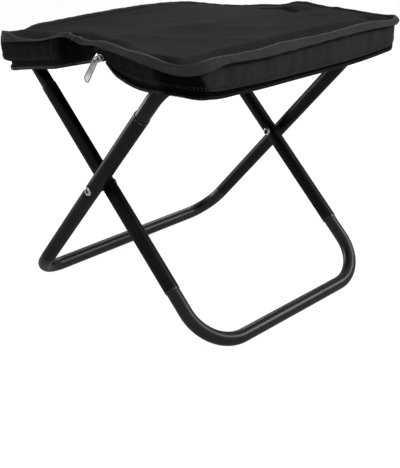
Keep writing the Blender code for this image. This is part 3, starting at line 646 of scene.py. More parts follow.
def sewn_row_tree():
    """Copies of one small piece, set out evenly along a path and turned to face the path's outward value."""
    wires, given, out, keys = node_tree("sewn row", [
        ("Pitch", "NodeSocketFloat"), ("Copy", "NodeSocketObject"), ("Finish", "NodeSocketMaterial")])
    line = wires.add("GeometryNodeMeshToCurve", Mesh=given["Geometry"])
    spaced = wires.add("GeometryNodeResampleCurve", {"mode": "LENGTH"}, Curve=line.outputs[0],
                       Length=given["Pitch"])
    tangent = wires.add("GeometryNodeInputTangent")
    outward = wires.add("GeometryNodeInputNamedAttribute", {"data_type": "FLOAT_VECTOR"}, Name="outward")
    along = wires.add("FunctionNodeAlignRotationToVector", {"axis": "X"}, Vector=tangent.outputs[0])
    facing = wires.add("FunctionNodeAlignRotationToVector", {"axis": "Z", "pivot_axis": "X"},
                       Rotation=along.outputs[0], Vector=outward.outputs[0])
    copy = wires.add("GeometryNodeObjectInfo", Object=given["Copy"])
    row = wires.add("GeometryNodeInstanceOnPoints", Points=spaced.outputs[0], Instance=copy.outputs["Geometry"],
                    Rotation=facing.outputs[0])
    whole = wires.add("GeometryNodeRealizeInstances", Geometry=row.outputs[0])
    made = wires.add("GeometryNodeSetMaterial", Geometry=whole.outputs[0], Material=given["Finish"])
    wires.feed(out, "Geometry", made.outputs[0])
    return wires.tree, keys


SWEPT_TUBE, SWEPT_TUBE_KEYS = swept_tube_tree()
SEWN_ROW, SEWN_ROW_KEYS = sewn_row_tree()


def run_tree(obj, tree, keys, values):
    """Give an object a node tree with its inputs set, and take the result as a plain mesh."""
    modifier = obj.modifiers.new(tree.name, "NODES")
    modifier.node_group = tree
    for title, value in values.items():
        modifier[keys[title]] = value
    return evaluated_mesh(obj)


def swept_tube(points, radius, material, girths=None, wall=TUBE_WALL, sides=TUBE_SIDES):
    """An open-ended tube with a wall along a path, as a mesh."""
    girths = girths or [1.0] * len(points)
    line = path_object(points, [("girth", "FLOAT", girths)])
    skin = run_tree(line, SWEPT_TUBE, SWEPT_TUBE_KEYS, {"Radius": radius, "Sides": sides, "Finish": material})
    face_outward(skin)
    holder = bpy.data.objects.new("tube", skin)
    bpy.context.scene.collection.objects.link(holder)
    shell = holder.modifiers.new("wall", "SOLIDIFY")
    shell.thickness = wall
    shell.offset = -1.0
    shell.use_even_offset = True
    return shade(face_outward(evaluated_mesh(holder)), 40.0)


# The tube frames
class Legs:
    """One crossed frame; places on it are a reach up the legs from the foot bar and a distance across."""

    def __init__(self, pull_joint, sleeve, sleeve_body, foot_body):
        self.along = -Vector(JOINTS[pull_joint]["axis"])
        low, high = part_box(sleeve)
        self.half = abs(low.y + high.y) / 2
        self.foot = PIVOT - self.along * (FOOT_HALF / abs(self.along.x))
        self.pivot_reach = (PIVOT - self.foot).length
        self.body = sleeve_body
        self.foot_body = foot_body

    def point(self, reach, across):
        return self.foot + self.along * reach + Vector((0.0, across, 0.0))


OUTER = Legs("outer_foot_pull", "outer_sleeve_front", "outer_frame", "outer_foot")
INNER = Legs("inner_foot_pull", "inner_sleeve_front", "inner_frame", "inner_foot")


def u_path(half, bar, bend, end):
    """A U of (reach, across): in along one leg, round a bend, along the bar and back."""
    side = math.copysign(1.0, end - bar)
    quarter = [math.pi / 2 * step / BEND_STEPS for step in range(BEND_STEPS + 1)]
    near = [(bar + side * bend * (1 - math.sin(turn)), half - bend * (1 - math.cos(turn))) for turn in quarter]
    far = [(reach, -across) for reach, across in reversed(near)]
    inside = end - side * min(RUB_REACH * 5, (abs(end - bar) - bend) * 0.8)
    return [(end, half), (inside, half)] + near + far + [(inside, -half), (end, -half)]


def rub_ends(mesh, ends):
    """Rubbed coat close to a tube's open ends."""
    spots = np.array([vertex.co for vertex in mesh.vertices])
    nearest = np.min([np.linalg.norm(spots - np.array(end), axis=1) for end in ends], axis=0)
    set_rub_and_highlight(mesh, np.clip(1.2 - (nearest - SLEEVE_R) / RUB_REACH, 0.0, 1.0) * 0.8)


def dent_for_rivet(mesh, legs, side, facing):
    """Press the tube's wall in where the rivet head seats."""
    seat = legs.point(legs.pivot_reach, side * legs.half)
    for vertex in mesh.vertices:
        away = vertex.co - seat
        run = away.dot(legs.along)
        radial = away - legs.along * run
        square_on = max(radial.normalized().y * facing, 0.0)
        vertex.co.y -= facing * RIVET_DENT * square_on ** 5 * math.exp(-(run / RIVET_DENT_REACH) ** 4)


def make_sleeves(legs, title, foot_joint):
    spread = [step * 0.001 for step in range(-14, 15)]
    for end, side in (("front", -1.0), ("rear", 1.0)):
        reaches = [foot_joint, foot_joint + 0.0008, foot_joint + RUB_REACH * 5]
        reaches += [legs.pivot_reach + away for away in spread]
        reaches += [SLEEVE_TOP_REACH - RUB_REACH * 5, SLEEVE_TOP_REACH - 0.0008, SLEEVE_TOP_REACH]
        girths = [0.985] + [1.0] * (len(reaches) - 2) + [0.985]
        mesh = swept_tube([legs.point(reach, side * legs.half) for reach in reaches], SLEEVE_R, SLEEVE_COAT, girths)
        facing = side if legs is OUTER else -side
        dent_for_rivet(mesh, legs, side, facing)
        rub_ends(mesh, [legs.point(reach, side * legs.half) for reach in (foot_joint, SLEEVE_TOP_REACH)])
        node = f"{title}_sleeve_{end}"
        piece(f"{node}_tube", mesh, None, legs.body, [node])


def make_rail(name, legs, path, radius, coat, body, girths=None):
    points = [legs.point(reach, across) for reach, across in path]
    mesh = swept_tube(points, radius, coat, girths)
    rub_ends(mesh, [points[0], points[-1]])
    piece(f"{name}_tube", mesh, None, body, [name])


def make_frames():
    for title, legs, foot_joint in (("outer", OUTER, OUTER_FOOT_JOINT), ("inner", INNER, INNER_FOOT_JOINT)):
        make_sleeves(legs, title, foot_joint)
        plug = SLEEVE_TOP_REACH - SOCKET_DEPTH
        make_rail(f"{title}_seat_rail", legs, u_path(legs.half, SEAT_RAIL_REACH, SEAT_RAIL_BEND, plug),
                  RAIL_R, SEAT_RAIL_COAT, legs.body)
    foot = u_path(INNER.half, 0.0, INNER_FOOT_BEND, INNER_FOOT_JOINT + SOCKET_DEPTH)
    make_rail("inner_foot_rail", INNER, foot, RAIL_R, FOOT_RAIL_COAT, INNER.foot_body)
    shoulder = OUTER_FOOT_JOINT - PANEL_GAP
    full = u_path(OUTER.half, 0.0, OUTER_FOOT_BEND, shoulder - NECK_LENGTH)
    tip = OUTER_FOOT_JOINT + SOCKET_DEPTH
    path = [(tip, OUTER.half), (shoulder, OUTER.half)] + full + [(shoulder, -OUTER.half), (tip, -OUTER.half)]
    narrow = RAIL_R / SLEEVE_R
    girths = [narrow, narrow] + [1.0] * len(full) + [narrow, narrow]
    make_rail("outer_foot_rail", OUTER, path, SLEEVE_R, FOOT_RAIL_COAT, OUTER.foot_body, girths)


def turned(profile, place, facing, sides=32):
    """A shape turned about the Y axis; the profile is (radius, distance out along the facing)."""
    rings = []
    for radius, out in profile:
        rings.append([(place.x + radius * math.cos(turn), place.y + facing * out, place.z + radius * math.sin(turn))
                      for turn in (2 * math.pi * side / sides for side in range(sides))])
    return loft(rings, sharp_deg=60.0)


def make_pivots():
    """Semi-tubular rivets with a rolled hollow end, and the spacers between the crossed legs."""
    middle = (OUTER.half + INNER.half) / 2
    seat = OUTER.half - middle + SLEEVE_R - RIVET_DENT
    rolled = [(0.0004, seat - 0.0046), (0.0020, seat - 0.0045), (0.0021, seat + 0.0004), (0.0023, seat + 0.0012),
              (0.0027, seat + 0.0019), (0.0033, seat + 0.0021), (0.0039, seat + 0.0017), (0.0045, seat + 0.0009),
              (0.0047, seat + 0.0003), (0.0047, seat - 0.0002), (0.0022, seat - 0.0004)]
    domed = [(0.0022, -seat + 0.0004), (0.0047, -seat + 0.0002), (0.0047, -seat - 0.0004),
             (0.0042, -seat - 0.0011), (0.0030, -seat - 0.0016), (0.0014, -seat - 0.0018), (0.0003, -seat - 0.0019)]
    spacer_half = (OUTER.half - INNER.half) / 2 - SLEEVE_R
    ring = [(0.0026, -spacer_half), (0.0041, -spacer_half), (0.0044, -spacer_half * 0.7),
            (0.0044, spacer_half * 0.7), (0.0041, spacer_half), (0.0026, spacer_half), (0.0026, -spacer_half)]
    for end, side in (("front", -1.0), ("rear", 1.0)):
        place = PIVOT + Vector((0.0, side * middle, 0.0))
        facing = -1.0
        rivet = turned(rolled + domed, place, facing)
        hollow = [math.hypot(vertex.co.x - place.x, vertex.co.z - place.z) < RIVET_HOLLOW_R
                  and (vertex.co.y - place.y) * facing > 0.0 for vertex in rivet.vertices]
        # Painted shade in the rivet's hollow end, which also gets no rub.
        set_painted_shade(rivet, hollow)
        set_rub_and_highlight(rivet, [0.0 if deep else 0.6 + 0.4 * abs(ripple(index, 0.13, 3.0))
                        for index, deep in enumerate(hollow)])
        piece(f"pivot_rivet_{end}_rolled", rivet, BRIGHT_METAL, "outer_frame", [f"pivot_rivet_{end}"])
        washer = loft([[(place.x + radius * math.cos(turn), place.y + out, place.z + radius * math.sin(turn))
                        for turn in (2 * math.pi * step / 32 for step in range(32))] for radius, out in ring],
                      capped=False)
        piece(f"spacer_washer_{end}_ring", face_outward(washer), SPACER, "outer_frame",
              [f"spacer_washer_{end}"])


# The seat
class CaseHalf:
    """One half of the opened case; places are worked out for the right half and mirrored for the left."""

    def __init__(self, title, sign, rail):
        right = sign > 0
        self.title = title
        self.sign = sign
        self.body = f"seat_{title}"
        low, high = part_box(f"seat_panel_{title}")
        self.edge = high.x if right else -low.x
        self.rail_x = abs(rail.x)
        self.corners = RIGHT_CORNERS if right else LEFT_CORNERS
        self.side_crest = RIGHT_CREST if right else LEFT_CREST
        self.side_skirt = RIGHT_SKIRT if right else LEFT_SKIRT
        self.corner_crest = RIGHT_CORNER_CREST if right else LEFT_CORNER_CREST
        self.corner_skirt = RIGHT_CORNER_SKIRT if right else LEFT_CORNER_SKIRT
        self.end_hem = RIGHT_END_HEM if right else LEFT_END_HEM
        self.side_hem = RIGHT_SIDE_HEM if right else LEFT_SIDE_HEM
        self.wall_start = RIGHT_WALL_START if right else LEFT_WALL_START
        self.end_tape = RIGHT_END_TAPE if right else LEFT_END_TAPE
        self.side_tape = RIGHT_SIDE_TAPE if right else LEFT_SIDE_TAPE
        self.tape_pinch = RIGHT_TAPE_PINCH if right else LEFT_TAPE_PINCH
        self.undercut = RIGHT_WALL_UNDERCUT if right else 0.0
        self.binding_pinch = 0.0 if right else LEFT_BINDING_PINCH
        self.wall_bulge = 0.0 if right else LEFT_WALL_BULGE
        self.wall_shade = RIGHT_WALL_SHADE if right else LEFT_WALL_SHADE

    def quarter(self, start, corner, offset, step):
        """Points from the spine along one end, round its corner to the side: x, y, outward x and y, share."""
        straight = self.edge - corner
        radius = corner + offset
        run = max(int((straight - start) / step), 2)
        points = [(start + (straight - start) * at / run, -SEAT_HALF - offset, 0.0, -1.0, 0.0)
                  for at in range(run)]
        turns = max(int(radius * math.pi / 2 / step), 6)
        for at in range(turns + 1):
            share = at / turns
            turn = math.pi / 2 * share
            points.append((straight + radius * math.sin(turn), corner - SEAT_HALF - radius * math.cos(turn),
                           math.sin(turn), -math.cos(turn), share * share * (3.0 - 2.0 * share)))
        return points

    def line(self, start, offset=0.0, step=RIM_STEP):
        """Points round the edge from the spine's front end to its rear end."""
        front_corner, rear_corner = self.corners
        front = self.quarter(start, front_corner, offset, step)
        rear = [(x, -y, out_x, -out_y, share)
                for x, y, out_x, out_y, share in reversed(self.quarter(start, rear_corner, offset, step))]
        first, last = front[-1][1], rear[0][1]
        count = int((last - first) / step)
        side = [(self.edge + offset, first + (last - first) * at / count, 1.0, 0.0, 1.0) for at in range(1, count)]
        return np.array(front + side + rear)

    def along_edge(self, front, rear, side, corners, x, y, share):
        """A height along the edge from its lists, with what the corners add."""
        flat = np.where(y < 0, through(front, self.sign * x), through(rear, self.sign * x))
        turned_in = 4.0 * share * (1.0 - share) * np.where(y < 0, corners[0], corners[1])
        return flat * (1.0 - share) + through(side, y) * share + turned_in

    def crest(self, x, y, share):
        return TOP_LEVEL + self.along_edge(FRONT_CREST, REAR_CREST, self.side_crest, self.corner_crest, x, y, share)

    def skirt(self, x, y, share):
        return TOP_LEVEL + self.along_edge(FRONT_SKIRT, REAR_SKIRT, self.side_skirt, self.corner_skirt, x, y, share)

    def flare(self, x, y, share):
        return self.along_edge(FRONT_FLARE, REAR_FLARE, SIDE_FLARE, (0.0, 0.0), x, y, share)

    def hem(self, x, y, share):
        return TOP_LEVEL + through(self.end_hem, x) * (1.0 - share) + through(self.side_hem, y) * share

    def tape_shown(self, x, y, share):
        return through(self.end_tape, x) * (1.0 - share) + through(self.side_tape, y) * share

    def mirrored(self, rings):
        rings = np.array(rings, float)
        rings[..., 0] *= self.sign
        return rings


RIGHT = CaseHalf("right", 1.0, RIGHT_RAIL)
LEFT = CaseHalf("left", -1.0, LEFT_RAIL)


def front_corner_bump(line):
    """1 in the middle of the front corner, falling to 0 at its two ends."""
    return np.where(line[:, 1] < 0, np.sin(np.pi * line[:, 4]) ** 0.7, 0.0)


def lengths(line):
    steps = np.linalg.norm(np.diff(line[:, :2], axis=0), axis=1)
    return np.concatenate(([0.0], np.cumsum(steps)))


def follow(half, line, heights, section):
    """Rings of a section of (outward, up) points carried along a line round the edge."""
    rings = []
    for (x, y, out_x, out_y, _), z in zip(line, heights):
        rings.append([(x + out_x * out, y + out_y * out, z + up) for out, up in section])
    return half.mirrored(rings)


def cloth_grid():
    """The whole seat cloth as a grid: x and y by column (across the stool) and row (front to rear), corner shares."""
    right = np.linspace(0.0, RIGHT.edge, int(RIGHT.edge / CELL) + 1)
    left = np.linspace(-LEFT.edge, 0.0, int(LEFT.edge / CELL) + 1)
    x = np.concatenate((left[:-1], right))
    rows = np.linspace(-1.0, 1.0, int(2 * SEAT_HALF / CELL) + 1)
    reaches = []
    shares = []
    for end in (0, 1):
        edge = np.where(x < 0, LEFT.edge, RIGHT.edge)
        corner = np.where(x < 0, LEFT.corners[end], RIGHT.corners[end])
        over = np.clip((np.abs(x) - edge + corner) / corner, 0.0, 1.0)
        reaches.append(SEAT_HALF - corner * (1.0 - np.sqrt(1.0 - over ** 2)))
        turn = np.arcsin(over) / (math.pi / 2)
        shares.append(turn * turn * (3.0 - 2.0 * turn))
    front = rows[None, :] < 0
    y = rows[None, :] * np.where(front, reaches[0][:, None], reaches[1][:, None])
    share = np.where(front, shares[0][:, None], shares[1][:, None])
    return np.repeat(x[:, None], len(rows), axis=1), y, share


def edge_heights(x, y, share):
    """Heights that the grid's border takes from the bound edge."""
    border = np.where(x < 0, LEFT.crest(np.abs(x), y, share), RIGHT.crest(np.abs(x), y, share))
    return border - TOP_LEVEL - RIM_TUCK - share * np.where(x < 0, LEFT_SIDE_TUCK, RIGHT_SIDE_TUCK)


def settled_cloth(x, y, corner_share):
    """Heights of the cloth: it hangs from its border and settles to a shallow sag in each half."""
    border = edge_heights(x, y, corner_share)
    rail_x = np.where(x < 0, LEFT.rail_x, RIGHT.rail_x)
    across = np.clip(np.abs(x) / rail_x, 0.0, 1.0)
    inside = np.clip(np.abs(y) / SEAT_HALF, 0.0, 1.0)
    rest = -SEAT_SAG * np.sin(math.pi * across) * (1.0 - inside ** 2)
    rest = rest + 0.0040 * np.exp(-(x / 0.026) ** 2)
    rest = np.where(np.abs(x) > rail_x, -0.0050, rest)
    slack = 0.014 + 0.034 * np.exp(-((np.abs(x) - 0.020) / 0.070) ** 2)
    pull = (CELL / slack) ** 2
    height = border * 0.3 + rest * 0.7
    height[:, 0], height[:, -1] = border[:, 0], border[:, -1]
    height[0], height[-1] = border[0], border[-1]
    for _ in range(SETTLE_ROUNDS):
        around = height[:-2, 1:-1] + height[2:, 1:-1] + height[1:-1, :-2] + height[1:-1, 2:]
        height[1:-1, 1:-1] = (around + pull[1:-1, 1:-1] * rest[1:-1, 1:-1]) / (4.0 + pull[1:-1, 1:-1])
    return height


def fold_heights(x, y):
    """The soft folds and a fine unevenness, fading to nothing at the bound edge."""
    total = np.zeros_like(x)
    for (start_x, start_y), (end_x, end_y), height, width in CLOTH_FOLDS:
        run = np.array((end_x - start_x, end_y - start_y))
        share = ((x - start_x) * run[0] + (y - start_y) * run[1]) / (run @ run)
        away = np.abs((x - start_x) * run[1] - (y - start_y) * run[0]) / np.linalg.norm(run)
        ends = np.exp(-np.clip(np.abs(share - 0.5) - 0.3, 0.0, None) ** 2 / 0.04)
        total += height * ends * np.exp(-(away / width) ** 2)
    uneven = np.array([[noise.noise(Vector((a * 26.0, b * 20.0, 4.2))) * 0.0007
                        + noise.noise(Vector((a * 70.0, b * 55.0, 9.1))) * 0.0003
                        for a, b in zip(row_x, row_y)] for row_x, row_y in zip(x, y)])
    return total + uneven


def grid_normals(points):
    across = np.gradient(points, axis=0)
    along = np.gradient(points, axis=1)
    normals = np.cross(across, along)
    return normals / np.linalg.norm(normals, axis=-1, keepdims=True)


def cloth_sheet(points, normals):
    """A thin closed sheet from a grid of points, with its UV in metres and its shading from the whole cloth."""
    columns, rows = points.shape[:2]
    top = points.reshape(-1, 3)
    low = (points - normals * CLOTH_T).reshape(-1, 3)
    count = len(top)
    place = np.arange(count).reshape(columns, rows)
    faces = []
    for column in range(columns - 1):
        for row in range(rows - 1):
            corners = (place[column, row], place[column + 1, row],
                       place[column + 1, row + 1], place[column, row + 1])
            faces.append(tuple(int(at) for at in corners))
            faces.append(tuple(int(at) + count for at in reversed(corners)))
    border = np.concatenate((place[:, 0], place[-1, 1:], place[-2::-1, -1], place[0, -2:0:-1]))
    for here, there in zip(border, np.roll(border, -1)):
        faces.append((int(here), int(here) + count, int(there) + count, int(there)))
    mesh = bpy.data.meshes.new("cloth")
    mesh.from_pydata(np.concatenate((top, low)).tolist(), [], faces)
    layer = mesh.uv_layers.new(name="cloth")
    corners = np.zeros(len(mesh.loops), np.int32)
    mesh.loops.foreach_get("vertex_index", corners)
    flat = np.concatenate((top, low))[:, :2]
    layer.data.foreach_set("uv", flat[corners].astype(np.float32).ravel())
    mesh.shade_smooth()
    mesh.normals_split_custom_set_from_vertices(np.concatenate((normals.reshape(-1, 3), -normals.reshape(-1, 3))))
    return mesh


def flatten_with_fold(obj):
    """Give the piece a mesh of its own."""
    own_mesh(obj)


def make_seat_cloth():
    x, y, corner_share = cloth_grid()
    fade = np.clip((SEAT_HALF - np.abs(y)) / 0.010, 0.0, 1.0)
    fade = fade * np.clip((np.where(x < 0, LEFT.edge, RIGHT.edge) - np.abs(x)) / 0.010, 0.0, 1.0)
    height = settled_cloth(x, y, corner_share) + fold_heights(x, y) * fade
    points = np.stack((x, y, TOP_LEVEL + height), axis=-1)
    normals = grid_normals(points)
    middle = int(np.argmin(np.abs(x[:, 0])))
    sheets = []
    for half, part in ((LEFT, slice(0, middle + 1)), (RIGHT, slice(middle, None))):
        mesh = cloth_sheet(points[part], normals[part])
        nodes = [f"seat_panel_{half.title}"] + (["spine_strip"] if half is RIGHT else [])
        obj = piece(f"seat_cloth_{half.title}", mesh, SEAT_CLOTH, half.body, nodes)
        flatten_with_fold(obj)
        sheets.append(obj)
    return sheets


def make_binding(half):
    """The bound edge: a folded tape that stands up round the seat and sways a little."""
    line = half.line(0.0, BINDING_OFFSET)
    runs = lengths(line)
    crest = half.crest(line[:, 0], line[:, 1], line[:, 4])
    tall = crest - half.skirt(line[:, 0], line[:, 1], line[:, 4])
    seed = 2.0 + half.sign
    fade = np.clip(line[:, 0] / 0.012, 0.0, 1.0)
    pinch = half.binding_pinch * front_corner_bump(line)
    lean = half.flare(line[:, 0], line[:, 1], line[:, 4])
    rings = []
    for (x, y, out_x, out_y, _), run, high, deep, near, tucked, wide in zip(line, runs, crest, tall, fade, pinch, lean):
        sway = 0.0007 * ripple(run, 60.0, seed) * near - tucked
        flare = 0.0008 * ripple(run, 75.0, seed + 2.0) * near + wide
        lift = (0.0004 * ripple(run, 95.0, seed + 5.0) + 0.0003 * ripple(run, 240.0, seed + 9.0)) * near
        if y < 0:
            sway += PUCKER * math.exp(-((half.sign * x - PUCKER_PLACE) / 0.016) ** 2) * math.sin(x * PUCKER_TURNS)
        ring = []
        for out, level in BINDING_SECTION:
            out += sway + (flare * level if out > 0.0 else 0.0)
            ring.append((x + out_x * out, y + out_y * out, high + lift - deep * level))
        rings.append(ring)
    mesh = loft(half.mirrored(rings))
    # The crest is lightened as a painted highlight as well as rubbed wear, the rest of the band only lightly rubbed;
    # both are toned down at the front corner.
    crest_highlight_and_rub = np.array([1.0 if level < 0.08 else 0.35 for _, level in BINDING_SECTION])
    set_rub_and_highlight(mesh, (crest_highlight_and_rub * (1.0 - 0.5 * front_corner_bump(line))[:, None]).ravel())
    obj = piece(f"edge_binding_{half.title}_tape", mesh, BINDING, half.body,
                [f"edge_binding_{half.title}"])
    flatten_with_fold(obj)


def wall_section(height, seed, run):
    """A wall's section from its top to its hem and back, as (outward, share of the height)."""
    levels = np.linspace(0.0, 1.0, 13)
    band = min(HEM_BAND / max(height, 1e-6), 0.8)
    outer = []
    for level in levels:
        crumple = ripple(run, 120.0, seed) * 0.6 + ripple(run + level * 0.01, 260.0, seed + 3.0) * 0.4
        out = WALL_BELLY * math.sin(math.pi * min(level * 1.08, 1.0)) + WALL_WRINKLE * crumple * math.sin(math.pi * level)
        if level > 1.0 - band:
            out += HEM_STEP
        outer.append((out, level))
    inner = [(out - WALL_T, level) for out, level in reversed(outer)]
    return outer + inner


def wall_painted_shade(half, line, runs):
    """Painted shade on a wall: close under the bound edge, along the front, and in the tucked-in fold at the
    right front corner."""
    levels = np.linspace(0.0, 1.0, 13)
    under = half.wall_shade * np.clip(1.0 - levels / WALL_SHADE_REACH, 0.0, 1.0)
    front = FRONT_WALL_SHADE * np.clip(-line[:, 3], 0.0, 1.0) ** 2
    dark = np.maximum(under[None, :], front[:, None])
    if half is RIGHT:
        corner = np.flatnonzero((line[:, 1] < 0) & (line[:, 4] > 0) & (line[:, 4] < 1))
        turn = (runs - runs[corner[0]]) / (runs[corner[-1]] - runs[corner[0]])
        enter = np.clip((turn + 0.45) / 0.45, 0.0, 1.0)[:, None]
        leave = np.clip((0.80 + 0.30 * levels[None, :] - turn[:, None]) / 0.08, 0.0, 1.0)
        dark = np.maximum(dark, 0.92 * enter * leave)
    return np.concatenate((dark, dark[:, ::-1]), axis=1).ravel()


def make_wall(half):
    """The side wall round one half: a little bellied, wrinkled, with a turned hem."""
    line = half.line(half.wall_start, -WALL_INSET)
    runs = lengths(line)
    places = line[:, 0], line[:, 1], line[:, 4]
    crest, skirt = half.crest(*places), half.skirt(*places)
    top = crest + (skirt - crest) * WALL_TUCK
    hem = half.hem(*places)
    bump = front_corner_bump(line)
    rings = []
    for (x, y, out_x, out_y, _), run, high, low, corner in zip(line, runs, top, hem, bump):
        ring = []
        for out, level in wall_section(high - low, 11.0 + half.sign, run):
            out += corner * (half.wall_bulge - half.undercut * level ** 2)
            ring.append((x + out_x * out, y + out_y * out, high + (low - high) * level))
        rings.append(ring)
    mesh = loft(half.mirrored(rings), sharp_deg=70.0)
    # Painted shade under the bound edge, along the front and in the corner fold.
    set_painted_shade(mesh, wall_painted_shade(half, line, runs))
    obj = piece(f"side_wall_{half.title}", mesh, WALL_CLOTH, half.body, [f"gusset_{half.title}"])
    return obj


def zip_line(half):
    """The zip's run along a hem: points of the edge, pinched in where the tape curls at the front corner, and heights."""
    line = half.line(half.wall_start, -WALL_INSET - TAPE_INSET)
    hem = half.hem(line[:, 0], line[:, 1], line[:, 4])
    pinch = half.tape_pinch * front_corner_bump(line)
    line[:, :2] -= line[:, 2:4] * pinch[:, None]
    return line, hem


def make_zip(half):
    """The zip tape along the hem and the coil on its edge."""
    line, hem = zip_line(half)
    shown = half.tape_shown(line[:, 0], line[:, 1], line[:, 4])
    near, far = COIL_R * 0.5, COIL_R * 0.5 + TAPE_T
    rings = []
    for (x, y, out_x, out_y, _), top, low in zip(line, hem + TAPE_TUCK, hem - shown - COIL_BACKING):
        rings.append([(x - out_x * deep, y - out_y * deep, z)
                      for deep, z in ((near, top), (near, low), (far, low), (far, top))])
    tape = loft(half.mirrored(rings), sharp_deg=40.0)
    obj = piece(f"zip_tape_{half.title}_woven", tape, ZIP_TAPE, half.body, [f"zip_tape_{half.title}"])
    centre = [(half.sign * x, y, z - COIL_R * 0.6) for (x, y, *_), z in zip(line, hem - shown)]
    outward = [(half.sign * out_x, out_y, 0.0) for _, _, out_x, out_y, _ in line]
    make_coil(f"zip_coil_{half.title}_teeth", centre, outward, half.body, [f"zip_coil_{half.title}"])


def coil_tooth():
    """One turn of the coil, seen from outside as a small rounded bar."""
    mesh = bpy.data.meshes.new("tooth")
    work = bmesh.new()
    bmesh.ops.create_cube(work, size=1.0)
    bmesh.ops.scale(work, vec=(COIL_PITCH * 0.62, COIL_R * 2.2, COIL_R * 1.7), verts=work.verts)
    bmesh.ops.bevel(work, geom=work.edges[:], offset=COIL_PITCH * 0.2, segments=2, affect="EDGES", profile=0.5)
    work.to_mesh(mesh)
    work.free()
    mesh.shade_smooth()
    obj = bpy.data.objects.new("tooth", mesh)
    bpy.context.scene.collection.objects.link(obj)
    return obj


def stitch():
    """One stitch: a short rounded thread that dips at its ends."""
    rings = []
    for step in range(7):
        share = step / 3.0 - 1.0
        fat = STITCH_R * math.sqrt(max(1.0 - (share * 0.98) ** 4, 0.02))
        bow = STITCH_R * (0.5 - 1.2 * share ** 2)
        rings.append([(share * STITCH_LENGTH / 2, fat * math.cos(turn), bow + fat * math.sin(turn))
                      for turn in (2 * math.pi * side / 6 for side in range(6))])
    obj = bpy.data.objects.new("stitch", loft(rings))
    bpy.context.scene.collection.objects.link(obj)
    return obj


COIL_TOOTH = coil_tooth()
STITCH = stitch()


def sewn_row(points, outward, copy, pitch, material):
    line = path_object(points, [("outward", "FLOAT_VECTOR", outward)])
    return run_tree(line, SEWN_ROW, SEWN_ROW_KEYS, {"Pitch": pitch, "Copy": copy, "Finish": material})


def make_coil(name, centre, outward, body, nodes):
    mesh = sewn_row(centre, outward, COIL_TOOTH, COIL_PITCH, ZIP_COIL)
    return piece(name, mesh, None, body, nodes)


def make_stitches(half):
    """Rows of thread: two along the wall's hem and one along the bound edge."""
    for title, rise in (("hem", HEM_BAND - 0.0008), ("hem_edge", HEM_BAND - 0.0026)):
        line = half.line(half.wall_start + 0.004, -WALL_INSET)
        places = line[:, 0], line[:, 1], line[:, 4]
        crest, skirt, hem = half.crest(*places), half.skirt(*places), half.hem(*places)
        top = crest + (skirt - crest) * WALL_TUCK
        level = 1.0 - rise / (top - hem)
        out = WALL_BELLY * np.sin(math.pi * np.minimum(level * 1.08, 1.0)) + HEM_STEP + STITCH_R
        out = out + front_corner_bump(line) * (half.wall_bulge - half.undercut * level ** 2)
        sew_row(f"{title}_stitches_{half.title}", half, line, out, hem + rise)
    line = half.line(0.010, BINDING_OFFSET)
    places = line[:, 0], line[:, 1], line[:, 4]
    crest = half.crest(*places)
    deep = crest - half.skirt(*places)
    out = 0.0018 + half.flare(*places) * BINDING_SEAM - half.binding_pinch * front_corner_bump(line)
    obj = sew_row(f"binding_stitches_{half.title}", half, line, out, crest - deep * BINDING_SEAM)
    flatten_with_fold(obj)


def sew_row(name, half, line, out, heights):
    """A row of stitches along a line round the edge, at an outward distance and a height."""
    points = [(half.sign * (x + out_x * far), y + out_y * far, z)
              for (x, y, out_x, out_y, _), far, z in zip(line, out, heights)]
    outward = [(half.sign * out_x, out_y, 0.0) for _, _, out_x, out_y, _ in line]
    return piece(name, sewn_row(points, outward, STITCH, STITCH_PITCH, THREAD), None, half.body)


def make_tunnel(half, rail):
    """The sewn tunnel round the seat rail, a little crumpled."""
    low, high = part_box(f"rail_tunnel_{half.title}")
    radius = (high.z - low.z) / 2
    rings = []
    for step in range(61):
        y = low.y + (high.y - low.y) * step / 60
        ring = []
        for side in range(28):
            turn = 2 * math.pi * side / 28
            crumple = 0.00045 * noise.noise(Vector((y * 90.0, 2.0 * math.cos(turn), 2.0 * math.sin(turn))))
            wide = radius + crumple - 0.0002
            ring.append((rail.x + wide * math.cos(turn), y, rail.z + wide * math.sin(turn)))
        rings.append(ring)
    obj = piece(f"rail_tunnel_{half.title}_sleeve", loft(rings), WALL_CLOTH, half.body,
                [f"rail_tunnel_{half.title}"])
    return obj


